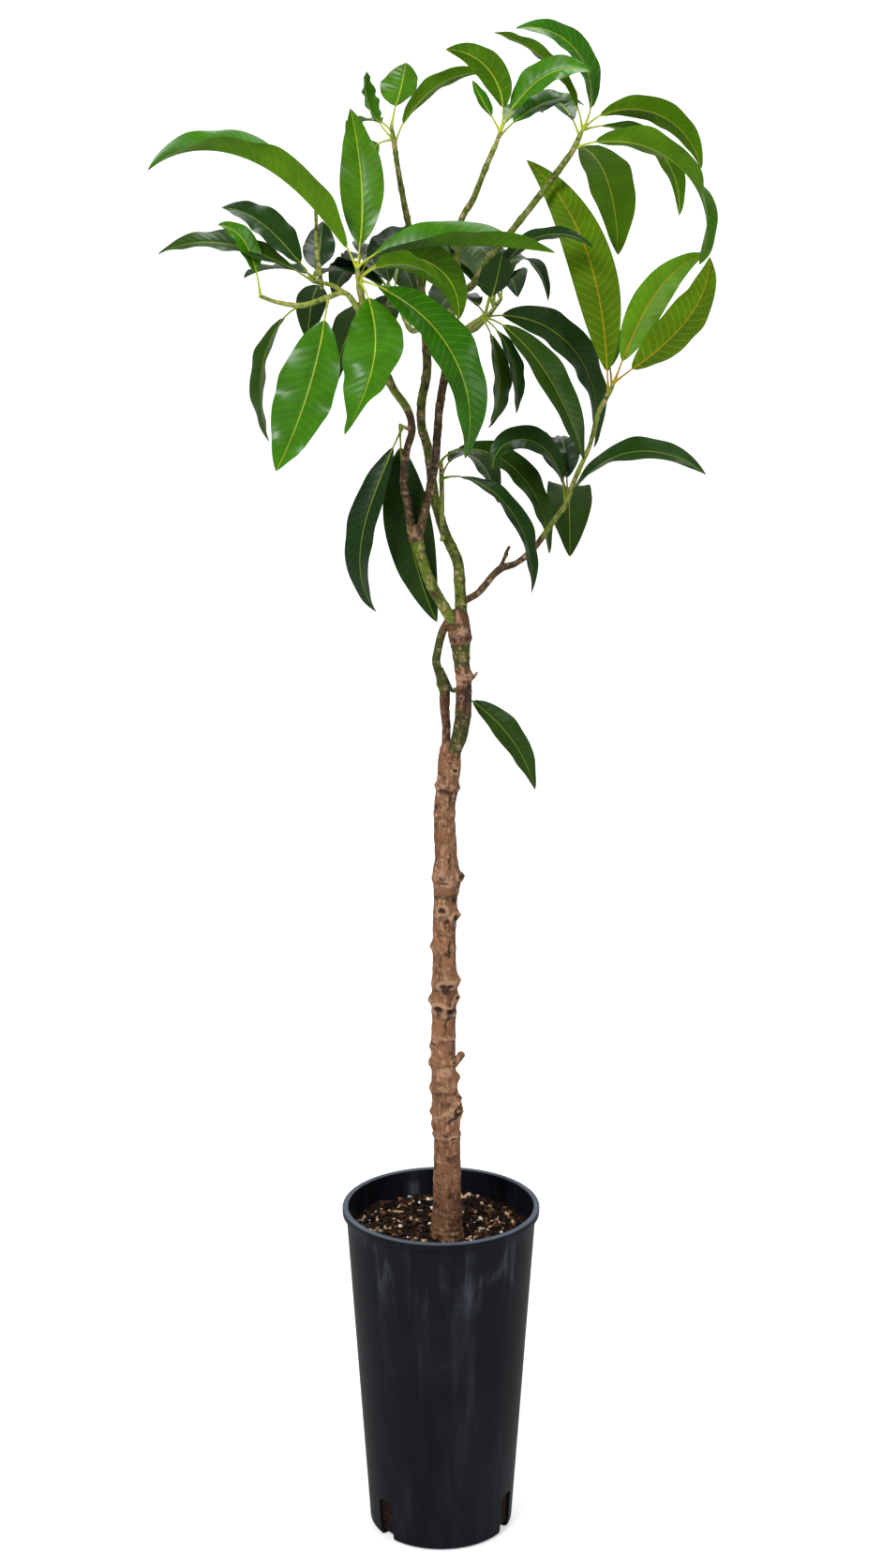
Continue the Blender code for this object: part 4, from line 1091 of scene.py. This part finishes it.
shoot = stem(inner_bough.top(), [(-50, 4, 1603), (-52, 3, 1617)], (2.6, 2.6, 1.6))
whorl("top_left_leaves", "fresh_leaf", ("fresh", shoot, [
    (1, 62, 68, 10, 1, 0, 72, 46, 0),
    (0.5, 165, 40, -55, 1, 0, 78, 34, -10),
    (0.6, 205, -5, 55, 1, 0, 58, 32, -35),
    (0.3, 8, 72, 81, 1.3, 0, 134, 30, -40),
    (0.8, 125, 35, 70, 1, 0, 95, 30, 0),
]))

shoot = stem(centre_bough.top(), [(57, -8, 1597), (62, -8, 1611)], (2.8, 2.8, 1.6))
whorl("top_centre_leaves", "fresh_leaf", ("fresh", shoot, [
    (1, 150, 57, 0, 1, 0, 62, 16, -25),
    (0.9, 196, 107, 112, 1.1, 0, 121, 34, 55),
    (0.9, -12, 64, 90, 1.8, 0, 126, 40, 50),
    (0.8, 25, 43, 77, 2, 0, 116, 36, 25),
    (0.8, 60, 50, 80, 1.2, 0, 112, 34, 0),
]))

shoot = stem(top_right_bough.top(), [(143, 10, 1599), (149, 10, 1612)], (3, 3, 1.8))
whorl("top_right_leaves", "fresh_leaf", ("fresh", shoot, [
    (1, 185, 118, 133, 1.1, 0, 160, 38, -45),
    (0.9, 168, 83, 74, 1, 0, 148, 32, 30),
    (0.9, 5, 51, 130, 0.9, 0, 166, 36, -48),
    (0.2, -8, 21, 140, 1.2, 0, 237, 52, -50, 20, 110),
    (0.2, 62, 15, 108, 0.8, 0, 190, 56, -5),
    (0.9, 25, 17, 115, 1.1, 0, 179, 32, -25),
    (0.8, 112, 50, 90, 1.2, 0, 145, 36, 0),
]))

shoot = stem(centre_bough.flank(0.53, -45), [(24, -23, 1407), (39, -28, 1417), (47, -30, 1424)],
             (3.4, 3.2, 3, 2.2))
whorl("centre_leaves", "mature_leaf", ("mature", shoot, [
    (1, -70, 50, -10, 1, 0, 82, 38, 0),
    (1, 55, 74, 160, 1.2, 0, 176, 28, 10),
    (1, -8, 80, 124, 1.5, 0, 165, 25, 35),
    (0.9, -17, 6, 82, 0.4, 0, 194, 46, 28),
    (0.9, 30, 5, 113, 1.2, 0, 245, 46, 70),
    (0.9, -60, -38, 111, 1.4, 0, 138, 34, -25),
    (0.8, -40, -21, 83, 0.9, 0, 118, 28, -5),
]))

shoot = stem(right_bough.top(), [(134, -17, 1219), (139, -18, 1233)], (2.8, 3, 3))
right_shoot = limb_from(shoot.top(), [(147, -18, 1254), (160, -17, 1284), (168, -15, 1316), (177, -13, 1334)],
                  (2.8, 2.6, 2.5, 2.5, 2.5))
whorl("right_whorl_leaves", "mature_leaf", ("mature", shoot, [
    (0.25, -50, 58, 98, 1.3, 30, 209, 38, 35),
    (0.5, 196, 86, 183, 1.8, 0, 150, 36, -45),
    (0.5, 84, 58, 158, 0.7, 0, 168, 52, 5),
    (0.75, 92, 70, 80, 1, 0, 120, 34, 0),
    (0.75, 118, 70, 70, 1, 0, 120, 34, 0),
]))

shoot = stem(right_shoot.top(), [(181, -12, 1341), (185, -12, 1350)], (2.5, 2.6, 1.6))
whorl("young_leaves", "young_leaf", ("young", shoot, [
    (0.3, 146, 87, 54, 1.6, 0, 276, 50, 118),
    (1, 10, 69, 56, 2.6, 0, 174, 38, 70),
    (0.9, -12, 38, -55, 2.5, 0, 173, 46, -65),
    (0.8, 96, 58, 60, 1.2, 0, 135, 36, 0),
]))

shoot = stem(inner_bough.flank(0.175, 215),
             [(2, -3, 1184), (1, -4, 1206), (1, -4, 1230), (0, -5, 1262)], (2.4, 2.6, 2.6, 2.6, 2.2))
whorl("inner_leaves", "mature_leaf", ("mature", shoot, [
    (0.9, -24, 26, 125, 0.7, 0, 188, 34, 10),
    (1, 6, 95, 186, 0.4, 0, 199, 38, 45),
    (0.9, 62, 70, 140, 0.6, 0, 175, 36, 0),
]))

shoot = stem(crown_bough.flank(0.42, 140), [(-41, -19, 1304), (-44, -12, 1305)], (2.2, 2.2, 1.8))
whorl("lower_left_leaves", "mature_leaf", ("mature", shoot, [
    (0.6, 205, -62, 72, 2.7, 0, 215, 42, -25),
    (1, 20, -89, -24, 1.4, 0, 224, 54, -70),
]))

shoot = stem(left_leader.flank(0.55, 45), [(12, 17, 1007), (16, 19, 1008)], (2.4, 2.4, 1.8))
whorl("lone_leaf", "mature_leaf", ("mature", shoot, [(0.8, 8, -28, 50, 1.1, 0, 154, 36, 55)]))

shoot = stem(inner_bough.flank(0.62, 105), [(-32, 50, 1400), (-44, 80, 1420), (-60, 104, 1442)],
             (3.4, 3.2, 3, 2.2))
whorl("rear_left_leaves", "mature_leaf",
      ("mature", shoot, spray(11, 7, (78, 150), (10, 60), (60, 110), (150, 190), (40, 50))))
shoot = stem(centre_bough.flank(0.55, 80), [(32, 40, 1400), (50, 70, 1412), (66, 98, 1430)],
             (3.2, 3, 2.8, 2.2))
whorl("rear_right_leaves", "mature_leaf",
      ("mature", shoot, spray(12, 7, (86, 128), (10, 60), (60, 110), (150, 190), (40, 50))))

wood_piece("shoots", shoot_tubes, shoot_bark, "green_bark")
marks, rings = bough_marks(right_shoot, 18, 0.7, 90), bough_rings(right_shoot, 26, 0.4, 91)
wood_piece("right_shoot_bark", [grown_tube(right_shoot, 24, 1.2, marks, rings, 0.2, 6)],
           shoot_bark, "green_bark", "right_shoot")
